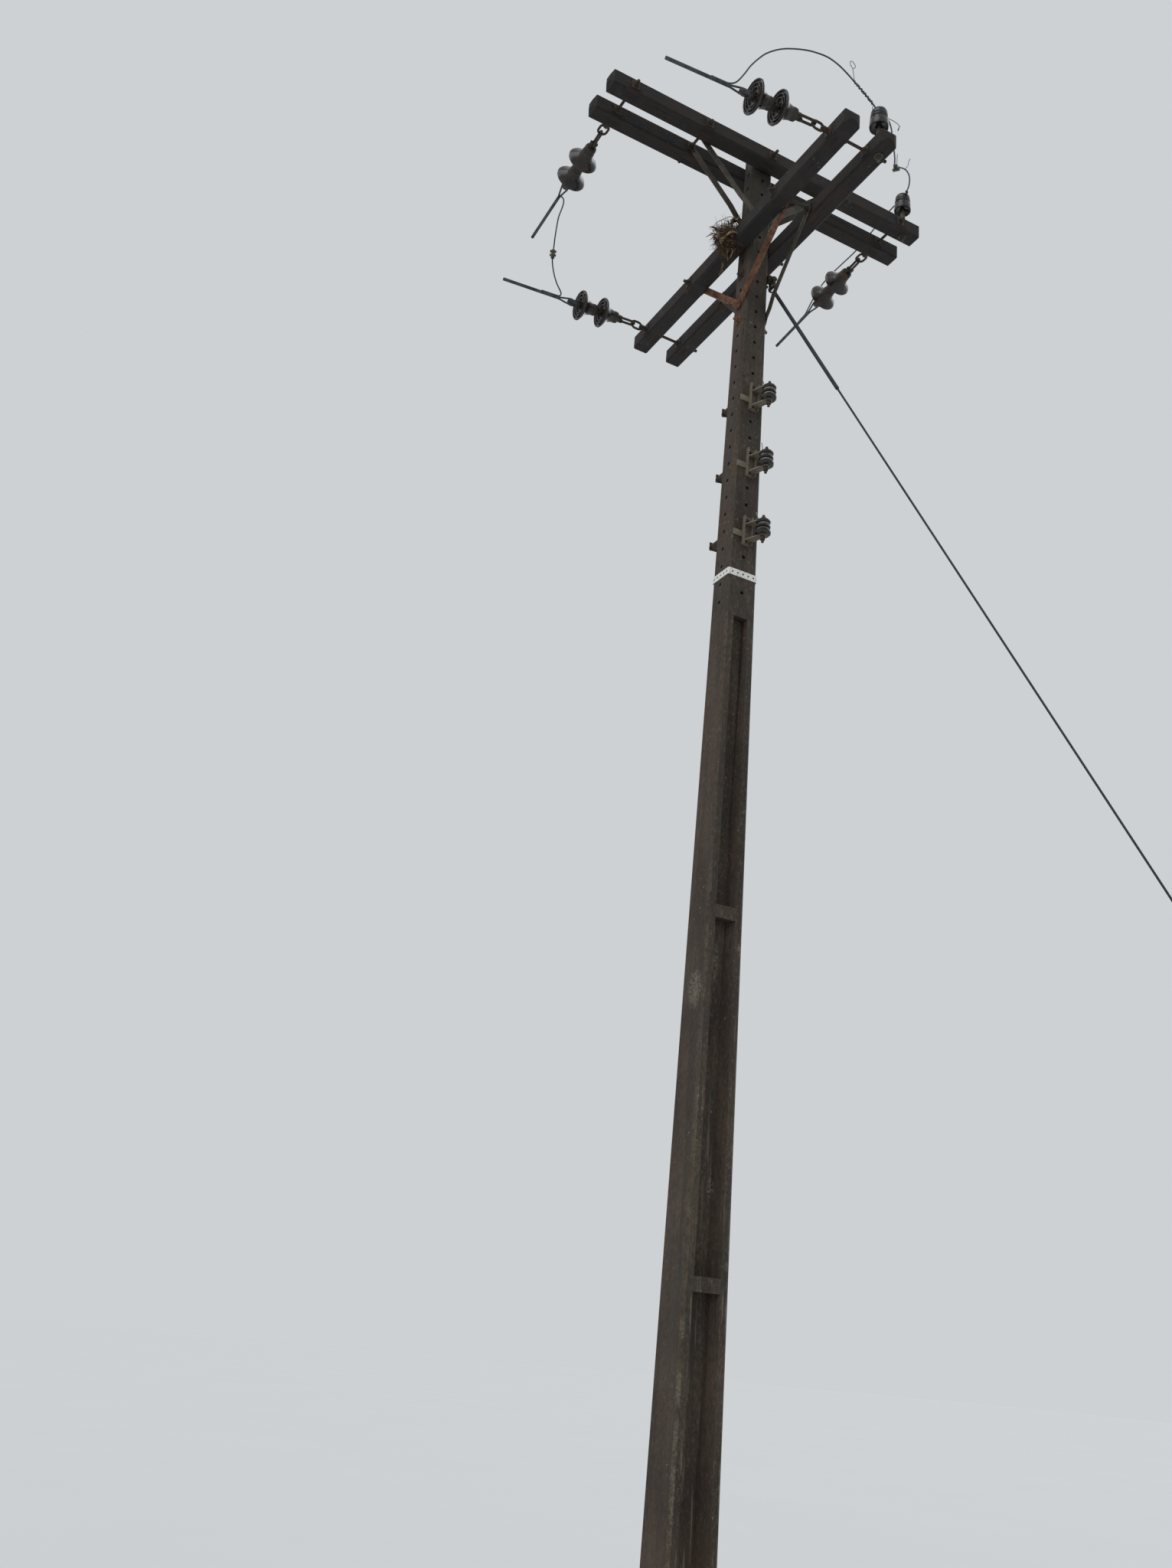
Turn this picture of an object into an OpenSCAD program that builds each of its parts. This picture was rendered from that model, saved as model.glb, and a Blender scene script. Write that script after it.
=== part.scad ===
// Distribution pole of reinforced concrete with two crossed pairs of timber arms.
// Millimetres, Z up, ground at z = 0, recessed faces look along -Y and +Y.

/* [Pole] */
// Height of the pole top above the ground
pole_height = 7500; // [7200:50:7900]
// Width of the recessed face at the top
top_width = 120; // [112:1:132]
// Depth of the smooth face at the top
top_depth = 100; // [94:1:112]
// Taper of the recessed face in millimetres per metre
width_taper = 16; // [12:0.5:20]
// Taper of the smooth face in millimetres per metre
depth_taper = 15.3; // [11:0.1:19]
// Chamfer on the four long corners
corner_chamfer = 12; // [5:1:20]
// Thickness of the web left between two opposite pockets
web_thickness = 64; // [50:1:80]
// Width of the flange strip beside each pocket
flange_strip = 43; // [36:1:52]
// Diameter of the bolt holes
hole_diameter = 19; // [17:0.5:22]

/* [Crossarms] */
// Square section of each timber arm
arm_section = 92; // [80:1:96]
// Length of each timber arm
arm_length = 2056; // [2000:2:2300]
// Bevel at the ends of each arm
arm_end_bevel = 28; // [12:1:36]
// Small chamfer along the arm edges
arm_edge = 9; // [3:1:14]
// Mean distance of the tie bolts from the ends of the arms
tie_bolt_end = 148; // [128:1:178]

/* [Fittings] */
// Diameter of the arm bolts
bolt_diameter = 16; // [12:0.5:17]
// Width of the flat braces
brace_width = 38; // [30:1:44]
// Thickness of the flat braces
brace_thickness = 5; // [4:0.1:6]
// Diameter of each disc insulator
disc_diameter = 172; // [150:1:190]
// Diameter of each pin insulator
pin_insulator_diameter = 98; // [88:1:112]
// Mean distance of the first pin insulator from the end of its arm
pin_end = 108; // [88:1:118]
// Mean distance of the second pin insulator from the end of its arm
pin_end_far = 87; // [60:1:98]
// Diameter of each spool insulator
spool_diameter = 80; // [70:1:88]
// Diameter of the stay strand
stay_diameter = 9.5; // [7:0.5:13]
// Diameter of the bridging wires
wire_diameter = 8; // [6:0.5:10]

/* [Hidden] */

concrete = [0.35, 0.33, 0.30];
timber = [0.25, 0.21, 0.19];
steel = [0.55, 0.56, 0.56];
rust = [0.50, 0.30, 0.18];
glaze = [0.30, 0.20, 0.16];
pale = [0.80, 0.80, 0.78];
wire = [0.45, 0.46, 0.46];

seat = 0.3;
upper_z = pole_height - 100;
lower_z = upper_z - 550;
brace_upper_z = upper_z - 400;
brace_left_z = lower_z - 400;
brace_right_z = lower_z - 500;
brace_reach = 410;
upper_gap = pole_d(upper_z - arm_section / 2) / 2 + seat;
lower_gap = pole_w(lower_z - arm_section / 2) / 2 + seat;
arm_shift = 14;
bolt_shift = 6;
tie_bolt_reach = arm_length / 2 - tie_bolt_end;
pin_reach = arm_length / 2 - pin_end;
pin_reach_far = arm_length / 2 - pin_end_far;
rack_drop = 135;
spool_side = 40;
spool_stand = 98;
spool_drop = 110;
spool_bolt = 14;
spool_bolt_length = 152;
rack_zs = [upper_z - 1500, upper_z - 1900, upper_z - 2300];
pocket_tops = [upper_z - 2835, upper_z - 4347, upper_z - 5913];
pocket_ends = [upper_z - 4287, upper_z - 5853, 60];
strap_z = upper_z - 2600;
stay_z = upper_z - 750;

function pole_w(z) = top_width + (pole_height - z) * width_taper / 1000;
function pole_d(z) = top_depth + (pole_height - z) * depth_taper / 1000;

// Trapezoid with straight sides from the foot to the top, seen from the side.
module tapered_slab(foot, top, reach) {
  rotate([90, 0, 0])
    linear_extrude(reach, center = true)
      polygon([[-foot / 2, 0], [foot / 2, 0], [top / 2, pole_height], [-top / 2, pole_height]]);
}

// The four long corners are cut by two slabs turned by 45 degrees.
module pole_body() {
  foot_w = pole_w(0);
  foot_d = pole_d(0);
  foot_x = (foot_w + foot_d - 2 * corner_chamfer) / sqrt(2);
  top_x = (top_width + top_depth - 2 * corner_chamfer) / sqrt(2);
  intersection() {
    tapered_slab(foot_w, top_width, 600);
    rotate([0, 0, 90]) tapered_slab(foot_d, top_depth, 600);
    rotate([0, 0, 45]) tapered_slab(foot_x, top_x, 600);
    rotate([0, 0, -45]) tapered_slab(foot_x, top_x, 600);
  }
}

// One half of a pocket: a prism with a sloping flank, leaned to follow the taper.
module pocket_half(z_low, z_high) {
  mid = (z_low + z_high) / 2;
  deep = pole_d(mid) / 2 - web_thickness / 2;
  back = pole_w(mid) / 2 - flange_strip - 0.45 * deep;
  lean = atan((width_taper - 0.45 * depth_taper) / 2000);
  translate([0, 0, mid])
    rotate([0, lean, 0])
      linear_extrude(z_high - z_low + 40, center = true)
        polygon([[-back, -web_thickness / 2], [30, -web_thickness / 2], [30, -220],
          [-back - 0.45 * (220 - web_thickness / 2), -220]]);
}

module pocket(z_low, z_high) {
  intersection() {
    union() {
      pocket_half(z_low, z_high);
      mirror([1, 0, 0]) pocket_half(z_low, z_high);
    }
    translate([-200, -250, z_low]) cube([400, 250, z_high - z_low]);
  }
}

module pole() {
  color(concrete)
    difference() {
      pole_body();
      for (i = [0:2])
        for (side = [0, 1])
          mirror([0, side, 0]) pocket(pocket_ends[i], pocket_tops[i]);
      // rows of bolt holes at a 100 mm pitch, the two rows half a pitch apart
      for (k = [0:27]) {
        translate([0, 0, upper_z - 100 * k])
          rotate([90, 0, 0]) cylinder(d = hole_diameter, h = 400, center = true, $fn = 32);
        translate([0, 0, upper_z - 50 - 100 * k])
          rotate([0, 90, 0]) cylinder(d = hole_diameter, h = 400, center = true, $fn = 32);
      }
    }
}

// Stands on the centre line of an arm where an insulator pin goes through it.
module at_pin(i) {
  translate([pin_sites[i][0], pin_sites[i][1], pin_sites[i][2]]) children();
}

// Square section with chamfered long edges.
module arm_profile() {
  a = arm_section / 2;
  c = arm_edge;
  polygon([[-a + c, -a], [a - c, -a], [a, -a + c], [a, a - c], [a - c, a], [-a + c, a],
    [-a, a - c], [-a, -a + c]]);
}

// Outline of a timber along its length, with bevelled ends.
module arm_outline() {
  h = arm_length / 2;
  a = arm_section / 2;
  b = arm_end_bevel;
  polygon([[-h + b * 0.6, -a - 1], [h - b * 0.6, -a - 1], [h, -a + b], [h, a - b],
    [h - b * 0.6, a + 1], [-h + b * 0.6, a + 1], [-h, a - b], [-h, -a + b]]);
}

// One timber along X with its centre on the origin and holes through its Y faces.
module arm_timber(holes) {
  difference() {
    intersection() {
      translate([arm_shift, 0, 0])
        rotate([90, 0, 90]) linear_extrude(arm_length, center = true) arm_profile();
      translate([arm_shift, 0, 0])
        rotate([90, 0, 0]) linear_extrude(200, center = true) arm_outline();
      translate([arm_shift, 0, 0])
        linear_extrude(200, center = true) arm_outline();
    }
    for (x = holes)
      translate([x, 0, 0])
        rotate([90, 0, 0]) cylinder(d = bolt_diameter + 2, h = 200, center = true, $fn = 24);
  }
}

arm_holes = [bolt_shift - tie_bolt_reach, -brace_reach, 0, brace_reach,
  bolt_shift + tie_bolt_reach];

module arm_upper_near() {
  color(timber)
    difference() {
      translate([0, -upper_gap - arm_section / 2, upper_z]) arm_timber(arm_holes);
      at_pin(1) cylinder(d = 22, h = 200, center = true, $fn = 24);
    }
}

module arm_upper_far() {
  color(timber)
    translate([0, upper_gap + arm_section / 2, upper_z]) arm_timber(arm_holes);
}

module arm_lower_left() {
  color(timber)
    translate([-lower_gap - arm_section / 2, 0, lower_z])
      rotate([0, 0, 90]) arm_timber(arm_holes);
}

module arm_lower_right() {
  color(timber)
    difference() {
      translate([lower_gap + arm_section / 2, 0, lower_z])
        rotate([0, 0, 90]) arm_timber(arm_holes);
      at_pin(0) cylinder(d = 22, h = 200, center = true, $fn = 24);
    }
}

// Hexagon nut on a square washer, standing on the plane y = 0 and growing along +Y.
module nut_on_washer(across = 26, thick = 13, washer = 50) {
  translate([-washer / 2, 0, -washer / 2]) cube([washer, 4, washer]);
  translate([0, 3, 0])
    rotate([-90, 0, 0]) cylinder(d = across / cos(30), h = thick + 1, $fn = 6);
}

// Bolt along Y: inner faces at +-inner, outer faces at +-outer, tips given.
module arm_bolt(outer, tip_low, tip_high, inner = 0) {
  translate([0, -outer - tip_low, 0])
    rotate([-90, 0, 0])
      cylinder(d = bolt_diameter, h = 2 * outer + tip_low + tip_high, $fn = 24);
  translate([0, outer + seat, 0]) nut_on_washer();
  mirror([0, 1, 0]) translate([0, outer + seat, 0]) nut_on_washer();
  if (inner > 0) {
    translate([0, inner - seat, 0]) mirror([0, 1, 0]) nut_on_washer();
    mirror([0, 1, 0]) translate([0, inner - seat, 0]) mirror([0, 1, 0]) nut_on_washer();
  }
}

module bolts_upper() {
  outer = upper_gap + arm_section;
  brace_in = upper_gap - brace_thickness - 2 * seat;
  color(steel)
    translate([0, 0, upper_z]) {
      translate([arm_holes[0], 0, 0]) arm_bolt(outer, 36, 46, upper_gap);
      translate([arm_holes[1], 0, 0]) arm_bolt(outer, 28, 34, brace_in);
      arm_bolt(outer, 46, 34);
      translate([arm_holes[3], 0, 0]) arm_bolt(outer, 28, 34, brace_in);
      translate([arm_holes[4], 0, 0]) arm_bolt(outer, 36, 46, upper_gap);
    }
}

module bolts_lower() {
  outer = lower_gap + arm_section;
  brace_in = lower_gap - brace_thickness - 2 * seat;
  color(steel)
    translate([0, 0, lower_z])
      rotate([0, 0, 90]) {
        translate([arm_holes[0], 0, 0]) arm_bolt(outer, 36, 46, lower_gap);
        translate([arm_holes[1], 0, 0]) arm_bolt(outer, 28, 34, brace_in);
        arm_bolt(outer, 34, 46);
        translate([arm_holes[3], 0, 0]) arm_bolt(outer, 28, 34, brace_in);
        translate([arm_holes[4], 0, 0]) arm_bolt(outer, 36, 46, lower_gap);
      }
}

// How far a brace steps out from the arm's inner face to the pole face.
function joggle(half, gap) = half + 2 * seat + brace_thickness - gap;

// Flat brace seen edge on, lying along +X from the pole bolt to the arm bolt.
// The pole end steps out by "step", and by "over" more where it lies on the other brace.
module brace_side(long, step, over) {
  t = brace_thickness;
  if (over == 0)
    polygon([[-24, -step], [120, -step], [190, 0], [long + 24, 0], [long + 24, t],
      [188, t], [118, t - step], [-24, t - step]]);
  else
    polygon([[-24, -step - over], [40, -step - over], [70, -step], [120, -step], [190, 0],
      [long + 24, 0], [long + 24, t], [188, t], [118, t - step], [68, t - step],
      [38, t - step - over], [-24, t - step - over]]);
}

// Outline of the brace with rounded ends and two bolt holes.
module brace_plan(long) {
  difference() {
    union() {
      translate([0, -brace_width / 2]) square([long, brace_width]);
      for (x = [0, long]) translate([x, 0]) circle(d = brace_width, $fn = 48);
    }
    for (x = [0, long]) translate([x, 0]) circle(d = bolt_diameter + 2, $fn = 24);
  }
}

// Brace in the XZ plane: bar thickness along Y, from the origin up at an angle.
module brace_leg(long, angle, step, over = 0) {
  rotate([0, -angle, 0])
    intersection() {
      linear_extrude(brace_width + 2, center = true) brace_side(long, step, over);
      rotate([90, 0, 0]) linear_extrude(90, center = true) brace_plan(long);
    }
}

// Outward flange that makes the rusty braces an angle section.
module brace_flange(long, angle, step, start) {
  t = brace_thickness;
  rotate([0, -angle, 0])
    translate([0, 0, -brace_width / 2])
      linear_extrude(t)
        polygon([[start, -30], [long - 118, -30], [long - 118, t / 2], [190, t / 2],
          [120, t / 2 - step], [start, t / 2 - step]]);
}

module brace_pair(rise, step) {
  long = sqrt(brace_reach * brace_reach + rise * rise);
  angle = atan(rise / brace_reach);
  brace_leg(long, angle, step);
  mirror([1, 0, 0]) brace_leg(long, angle, step, brace_thickness + seat);
}

brace_upper_half = pole_d(brace_upper_z - brace_width / 2) / 2;
brace_left_half = pole_w(brace_left_z - brace_width / 2) / 2;
brace_right_half = pole_w(brace_right_z - brace_width / 2) / 2;

module brace_upper_near() {
  color(steel)
    translate([0, -upper_gap + seat, brace_upper_z])
      brace_pair(upper_z - brace_upper_z, joggle(brace_upper_half, upper_gap));
}

module brace_upper_far() {
  color(steel)
    mirror([0, 1, 0])
      translate([0, -upper_gap + seat, brace_upper_z])
        brace_pair(upper_z - brace_upper_z, joggle(brace_upper_half, upper_gap));
}

module brace_lower_left() {
  rise = lower_z - brace_left_z;
  long = sqrt(brace_reach * brace_reach + rise * rise);
  angle = atan(rise / brace_reach);
  step = joggle(brace_left_half, lower_gap);
  color(rust)
    translate([-lower_gap + seat, 0, brace_left_z])
      rotate([0, 0, -90]) {
        brace_leg(long, angle, step);
        brace_flange(long, angle, step, 44);
        mirror([1, 0, 0]) {
          brace_leg(long, angle, step, brace_thickness + seat);
          brace_flange(long, angle, step, 76);
        }
      }
}

module brace_lower_right() {
  color(steel)
    translate([lower_gap - seat, 0, brace_right_z])
      rotate([0, 0, 90])
        brace_pair(lower_z - brace_right_z, joggle(brace_right_half, lower_gap));
}

// Bolt through the pole along Y for braces on one or both faces.
module pole_bolt(low, high) {
  translate([0, -low - 30, 0])
    rotate([-90, 0, 0]) cylinder(d = bolt_diameter, h = low + high + 60, $fn = 24);
  translate([0, high, 0]) nut_on_washer(26, 13, 44);
  mirror([0, 1, 0]) translate([0, low, 0]) nut_on_washer(26, 13, 44);
}

module brace_bolts() {
  lap = 2 * brace_thickness + 3 * seat;
  color(rust) {
    translate([0, 0, brace_upper_z]) pole_bolt(brace_upper_half + lap, brace_upper_half + lap);
    translate([0, 0, brace_left_z])
      rotate([0, 0, 90])
        pole_bolt(pole_w(brace_left_z - 22) / 2 + seat, brace_left_half + lap);
    translate([0, 0, brace_right_z])
      rotate([0, 0, 90])
        pole_bolt(brace_right_half + lap, pole_w(brace_right_z - 22) / 2 + seat);
  }
}

// Places a string: local +X leaves the arm, the origin sits on its outer face.
module at_string(i) {
  if (i == 1)
    translate([arm_holes[0], upper_gap + arm_section, upper_z]) rotate([0, 0, 90]) children();
  if (i == 2)
    translate([arm_holes[4], upper_gap + arm_section, upper_z]) rotate([0, 0, 90]) children();
  if (i == 3)
    translate([-lower_gap - arm_section, arm_holes[0], lower_z]) rotate([0, 0, 180]) children();
  if (i == 4)
    translate([-lower_gap - arm_section, arm_holes[4], lower_z]) rotate([0, 0, 180]) children();
}

string_droop = [0, 6, 5, 5.5, 5.5];
string_roll = [0, 0, 0, 90, 90];
ring_contact = 92;
link_bar = 14;
disc_at = 295;
disc_pitch = 140;
fork_back = 122;
pin_ahead = 18;
fork_pin = 11;
sheave_at = 502;
wound_from = 580;
wound_to = 930;
wound_diameter = 16;

// The part of a string beyond its ring hangs down by a few degrees.
module drooped(i) {
  at_string(i)
    translate([ring_contact, 0, 0])
      rotate([0, string_droop[i], 0])
        translate([-ring_contact, 0, 0]) rotate([string_roll[i], 0, 0]) children();
}

// Closed oval of round bar in the XY plane, between the two outer bar centres.
module oval(near, far, radius, bar) {
  translate([near + radius, 0, 0])
    rotate([0, 0, 90]) rotate_extrude(angle = 180, $fn = 48) translate([radius, 0]) circle(d = bar, $fn = 24);
  translate([far - radius, 0, 0])
    rotate([0, 0, -90]) rotate_extrude(angle = 180, $fn = 48) translate([radius, 0]) circle(d = bar, $fn = 24);
  for (side = [-1, 1])
    translate([near + radius, side * radius, 0])
      rotate([0, 90, 0]) cylinder(d = bar, h = far - near - 2 * radius, $fn = 24);
}

// Forged ring on a nut body, and the round bar link that hangs in it.
module eye(i) {
  color(steel)
    at_string(i)
      rotate([string_roll[i], 0, 0])
        difference() {
          union() {
            translate([20, 0, 0]) rotate([0, 90, 0]) cylinder(d = 32, h = 22, $fn = 6);
            oval(ring_contact + 6.5 - 67, ring_contact + 6.5, 24, 13);
          }
          translate([10, 0, 0])
            rotate([0, 90, 0]) cylinder(d = bolt_diameter + 2 * seat, h = 37, $fn = 24);
        }
  color(steel) drooped(i) link();
}

// The link stands across the ring and closes around the first cross pin.
module link() {
  near = ring_contact - seat - link_bar / 2;
  far = disc_at - fork_back + fork_pin / 2 + seat + link_bar / 2;
  rotate([90, 0, 0]) oval(near, far, 15, link_bar);
}

// Porcelain of one disc, the widest plane at x = 0, ribbed below and hollow at the pin.
module shell() {
  r = disc_diameter / 2;
  rotate([0, 90, 0])
    rotate_extrude($fn = 72)
      polygon([[0, -92], [22, -92], [26.5, -88], [26.5, -63.7], [34, -63.7], [38, -48],
        [43, -34], [50, -24], [62, -15], [r - 6, -3], [r, 5], [r - 1, 11], [r - 5, 14],
        [r - 9, 12], [r - 12, 4], [r - 18, 3], [r - 21, 13], [r - 25, 13], [r - 29, 2],
        [r - 36, 1], [r - 39, 11], [r - 43, 11], [r - 47, 0], [24, -1], [21, -8],
        [9.3, -8], [9.3, -60], [0, -60]]);
}

// Two cheeks of a fork, bored for the cross pin at x = 0 and joined at x = back.
module fork_cheeks(back) {
  for (side = [-1, 1])
    translate([0, side * 12.5, 0])
      rotate([90, 0, 0])
        linear_extrude(8, center = true)
          difference() {
            union() {
              circle(d = 25, $fn = 40);
              translate([0, -12.5]) square([back, 25]);
            }
            circle(d = fork_pin + 1, $fn = 24);
          }
}

// Steel cap that closes over the head of the porcelain, with its fork.
module cap() {
  rotate([0, 90, 0])
    rotate_extrude($fn = 56)
      polygon([[0, -98], [26, -98], [31, -94], [33, -84], [33, -64], [26.8, -64],
        [26.8, -88.1], [22.1, -92.3], [0, -92.3]]);
  translate([-fork_back, 0, 0]) fork_cheeks(fork_back - 96);
}

// Steel pin cemented into the porcelain, flattened to a tongue with an eye.
module tongue() {
  difference() {
    union() {
      translate([-59.7, 0, 0]) rotate([0, 90, 0]) cylinder(d = 18, h = 65, $fn = 32);
      translate([2, -8, -12]) cube([pin_ahead - 2, 16, 24]);
      translate([pin_ahead, 0, 0]) rotate([90, 0, 0]) cylinder(d = 24, h = 16, center = true, $fn = 40);
    }
    translate([pin_ahead, 0, 0])
      rotate([90, 0, 0]) cylinder(d = fork_pin + 1, h = 40, center = true, $fn = 24);
  }
}

// Headed cross pin that joins a tongue or a link to the next fork.
module cross_pin(x) {
  translate([x, 0, 0]) rotate([90, 0, 0]) cylinder(d = fork_pin, h = 46, center = true, $fn = 24);
  for (side = [-1, 1])
    translate([x, side * (16.5 + seat + 2), 0])
      rotate([90, 0, 0]) cylinder(d = 17, h = 4, center = true, $fn = 24);
}

module caps(i) {
  color(steel)
    drooped(i) {
      for (k = [0, 1])
        translate([disc_at + k * disc_pitch, 0, 0]) {
          cap();
          tongue();
        }
      for (k = [0:2]) cross_pin(disc_at - fork_back + k * disc_pitch);
    }
}

module bells(i) {
  color(glaze)
    drooped(i)
      for (k = [0, 1]) translate([disc_at + k * disc_pitch, 0, 0]) shell();
}

// Fork body with a sheave, and the wound grip that loops around the sheave.
module grip(i) {
  last_pin = disc_at - fork_back + 2 * disc_pitch;
  loop = 22;
  color(wire)
    drooped(i) {
      translate([last_pin, 0, 0]) fork_cheeks(16);
      translate([last_pin + 13, -16.5, -13]) cube([9, 33, 26]);
      for (side = [-1, 1])
        translate([last_pin + 13, -15, side * 9.25 - 2.75]) cube([sheave_at - last_pin - 13, 30, 5.5]);
      for (side = [-1, 1])
        translate([sheave_at, 0, side * 9.25]) cylinder(d = 30, h = 5.5, center = true, $fn = 40);
      translate([sheave_at, 0, 0]) cylinder(d = 12, h = 34, center = true, $fn = 24);
      translate([sheave_at, 0, 0])
        rotate_extrude($fn = 48)
          polygon([[6.3, -6.2], [21, -6.2], [21, -5], [16.7, -4], [16.7, 4], [21, 5],
            [21, 6.2], [6.3, 6.2]]);
      translate([sheave_at, 0, 0])
        rotate([0, 0, 90]) rotate_extrude(angle = 180, $fn = 48) translate([loop, 0]) circle(d = 9, $fn = 24);
      for (side = [-1, 1])
        translate([sheave_at - 0.5, side * loop, 0])
          rotate([0, 90, -side * atan((loop - 4.5) / (wound_from - sheave_at))])
            cylinder(d = 9, h = wound_from - sheave_at + 4, $fn = 24);
      translate([wound_from, 0, 0])
        rotate([0, 90, 0]) cylinder(d = wound_diameter, h = wound_to - wound_from, $fn = 24);
    }
}

module eye_1() { eye(1); }
module eye_2() { eye(2); }
module eye_3() { eye(3); }
module eye_4() { eye(4); }
module caps_1() { caps(1); }
module caps_2() { caps(2); }
module caps_3() { caps(3); }
module caps_4() { caps(4); }
module bells_1() { bells(1); }
module bells_2() { bells(2); }
module bells_3() { bells(3); }
module bells_4() { bells(4); }
module grip_1() { grip(1); }
module grip_2() { grip(2); }
module grip_3() { grip(3); }
module grip_4() { grip(4); }

// Steel pin through an arm with a collar above and a nut below.
module insulator_pin(rise) {
  half = arm_section / 2;
  translate([0, 0, -half - 34]) cylinder(d = 19, h = arm_section + 34 + rise + 91, $fn = 32);
  translate([0, 0, half + seat]) cylinder(d = 48, h = 6, $fn = 40);
  translate([0, 0, half + 5]) cylinder(d1 = 34, d2 = 26, h = rise - 4, $fn = 32);
  translate([0, 0, -half - seat - 4]) cylinder(d = 46, h = 4, $fn = 40);
  translate([0, 0, -half - seat - 17]) cylinder(d = 30, h = 14, $fn = 6);
}

// Porcelain body standing on its rim at z = 0, with a groove across the crown.
module pin_body(turn) {
  r = pin_insulator_diameter / 2;
  difference() {
    rotate_extrude($fn = 72)
      polygon([[9.8, 42], [16, 35], [18, 12], [r - 11, 5], [r - 8, 0], [r - 2, 2], [r, 10],
        [r - 1, 34], [r - 3, 50], [r - 7, 54], [r - 8, 58], [r - 4, 62], [r - 4, 68],
        [r - 9, 72], [r - 9, 76], [r - 6, 80], [r - 6.5, 96], [r - 10, 107], [r - 18, 113],
        [0, 113], [0, 96], [9.8, 92]]);
    translate([0, 0, 113]) rotate([0, 0, turn]) cube([200, 14, 20], center = true);
  }
}

// Place on the arm, height of the rim and direction of the crown groove.
pin_sites = [[lower_gap + arm_section / 2, -pin_reach, lower_z, 85, 8],
  [pin_reach_far, -upper_gap - arm_section / 2, upper_z, 91, 85.2]];

module insulator_pins() {
  color(steel)
    for (p = pin_sites) translate([p[0], p[1], p[2]]) insulator_pin(p[3]);
}

module pin_insulators() {
  color(glaze)
    for (p = pin_sites)
      translate([p[0], p[1], p[2] + arm_section / 2 + p[3] + 1]) pin_body(p[4]);
}

// Rack: channel against the recessed face, a foot bar and a stirrup for the spool.
module rack_bracket(z) {
  face = pole_d(z - rack_drop) / 2 + seat;
  translate([0, -face, z])
    difference() {
      union() {
        translate([-18, -5, -rack_drop]) cube([50, 5, rack_drop + 25]);
        translate([-18, -22, -rack_drop]) cube([5, 20, rack_drop + 25]);
        translate([27, -22, -rack_drop]) cube([5, 20, rack_drop + 25]);
        translate([-70, -6, -92]) cube([60, 6, 32]);
        for (h = [-26, -115])
          translate([0, 0, h])
            linear_extrude(5)
              difference() {
                union() {
                  polygon([[-18, -4], [27, -4], [58, -92], [22, -104]]);
                  translate([spool_side, -spool_stand]) circle(d = 38, $fn = 48);
                }
                translate([spool_side, -spool_stand]) circle(d = spool_bolt + 1, $fn = 32);
              }
      }
      translate([0, 0, 0]) rotate([90, 0, 0]) cylinder(d = 18, h = 80, center = true, $fn = 24);
      translate([7, 0, -124 + 14]) rotate([90, 0, 0]) cylinder(d = 17, h = 30, center = true, $fn = 24);
    }
}

// Ribbed spool with two wire grooves, turned about its upright bolt.
module rack_spool(z) {
  face = pole_d(z - rack_drop) / 2 + seat;
  r = spool_diameter / 2;
  translate([spool_side, -face - spool_stand, z - spool_drop + 0.4]) {
    rotate_extrude($fn = 64)
      polygon([[7.6, 0], [r - 8, 0], [r - 2, 5], [r, 14], [r - 4, 20], [r - 14, 24],
        [r - 14, 34], [r - 5, 38], [r - 3, 43], [r - 5, 48], [r - 14, 52], [r - 14, 60],
        [r - 6, 65], [r - 3, 72], [r - 6, 79], [r - 12, 83], [7.6, 83]]);
  }
}

module rack_brackets() {
  color(steel) for (z = rack_zs) rack_bracket(z);
}

module rack_spools() {
  color(glaze) for (z = rack_zs) rack_spool(z);
}

// Through bolt with its sleeve behind the pole, and the upright spool bolt.
module rack_bolts() {
  color(steel)
    for (i = [0:2]) {
      z = rack_zs[i];
      face = pole_d(z - rack_drop) / 2 + seat;
      back = pole_d(z - 20) / 2 + seat;
      reach = 200 + 19 * i;
      translate([0, 0, z]) {
        translate([0, -face - 24, 0])
          rotate([-90, 0, 0]) cylinder(d = 16, h = face + 24 + reach + 14, $fn = 24);
        translate([0, -face - 5 - seat, 0]) mirror([0, 1, 0])
          rotate([-90, 0, 0]) cylinder(d = 28, h = 12, $fn = 6);
        translate([0, back, 0]) rotate([-90, 0, 0]) cylinder(d = 33, h = reach - 14 - back, $fn = 32);
        translate([-21, reach - 15, -21]) cube([42, 5, 42]);
        translate([0, reach - 11, 0]) rotate([-90, 0, 0]) cylinder(d = 32, h = 14, $fn = 6);
      }
      translate([spool_side, -face - spool_stand, z - 150])
        cylinder(d = spool_bolt, h = spool_bolt_length, $fn = 24);
      translate([spool_side, -face - spool_stand, z - 150 + 129.3]) cylinder(d = 26, h = 10, $fn = 6);
      translate([spool_side, -face - spool_stand, z - 150 + 14]) cylinder(d = 26, h = 20.5, $fn = 6);
    }
}

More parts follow.
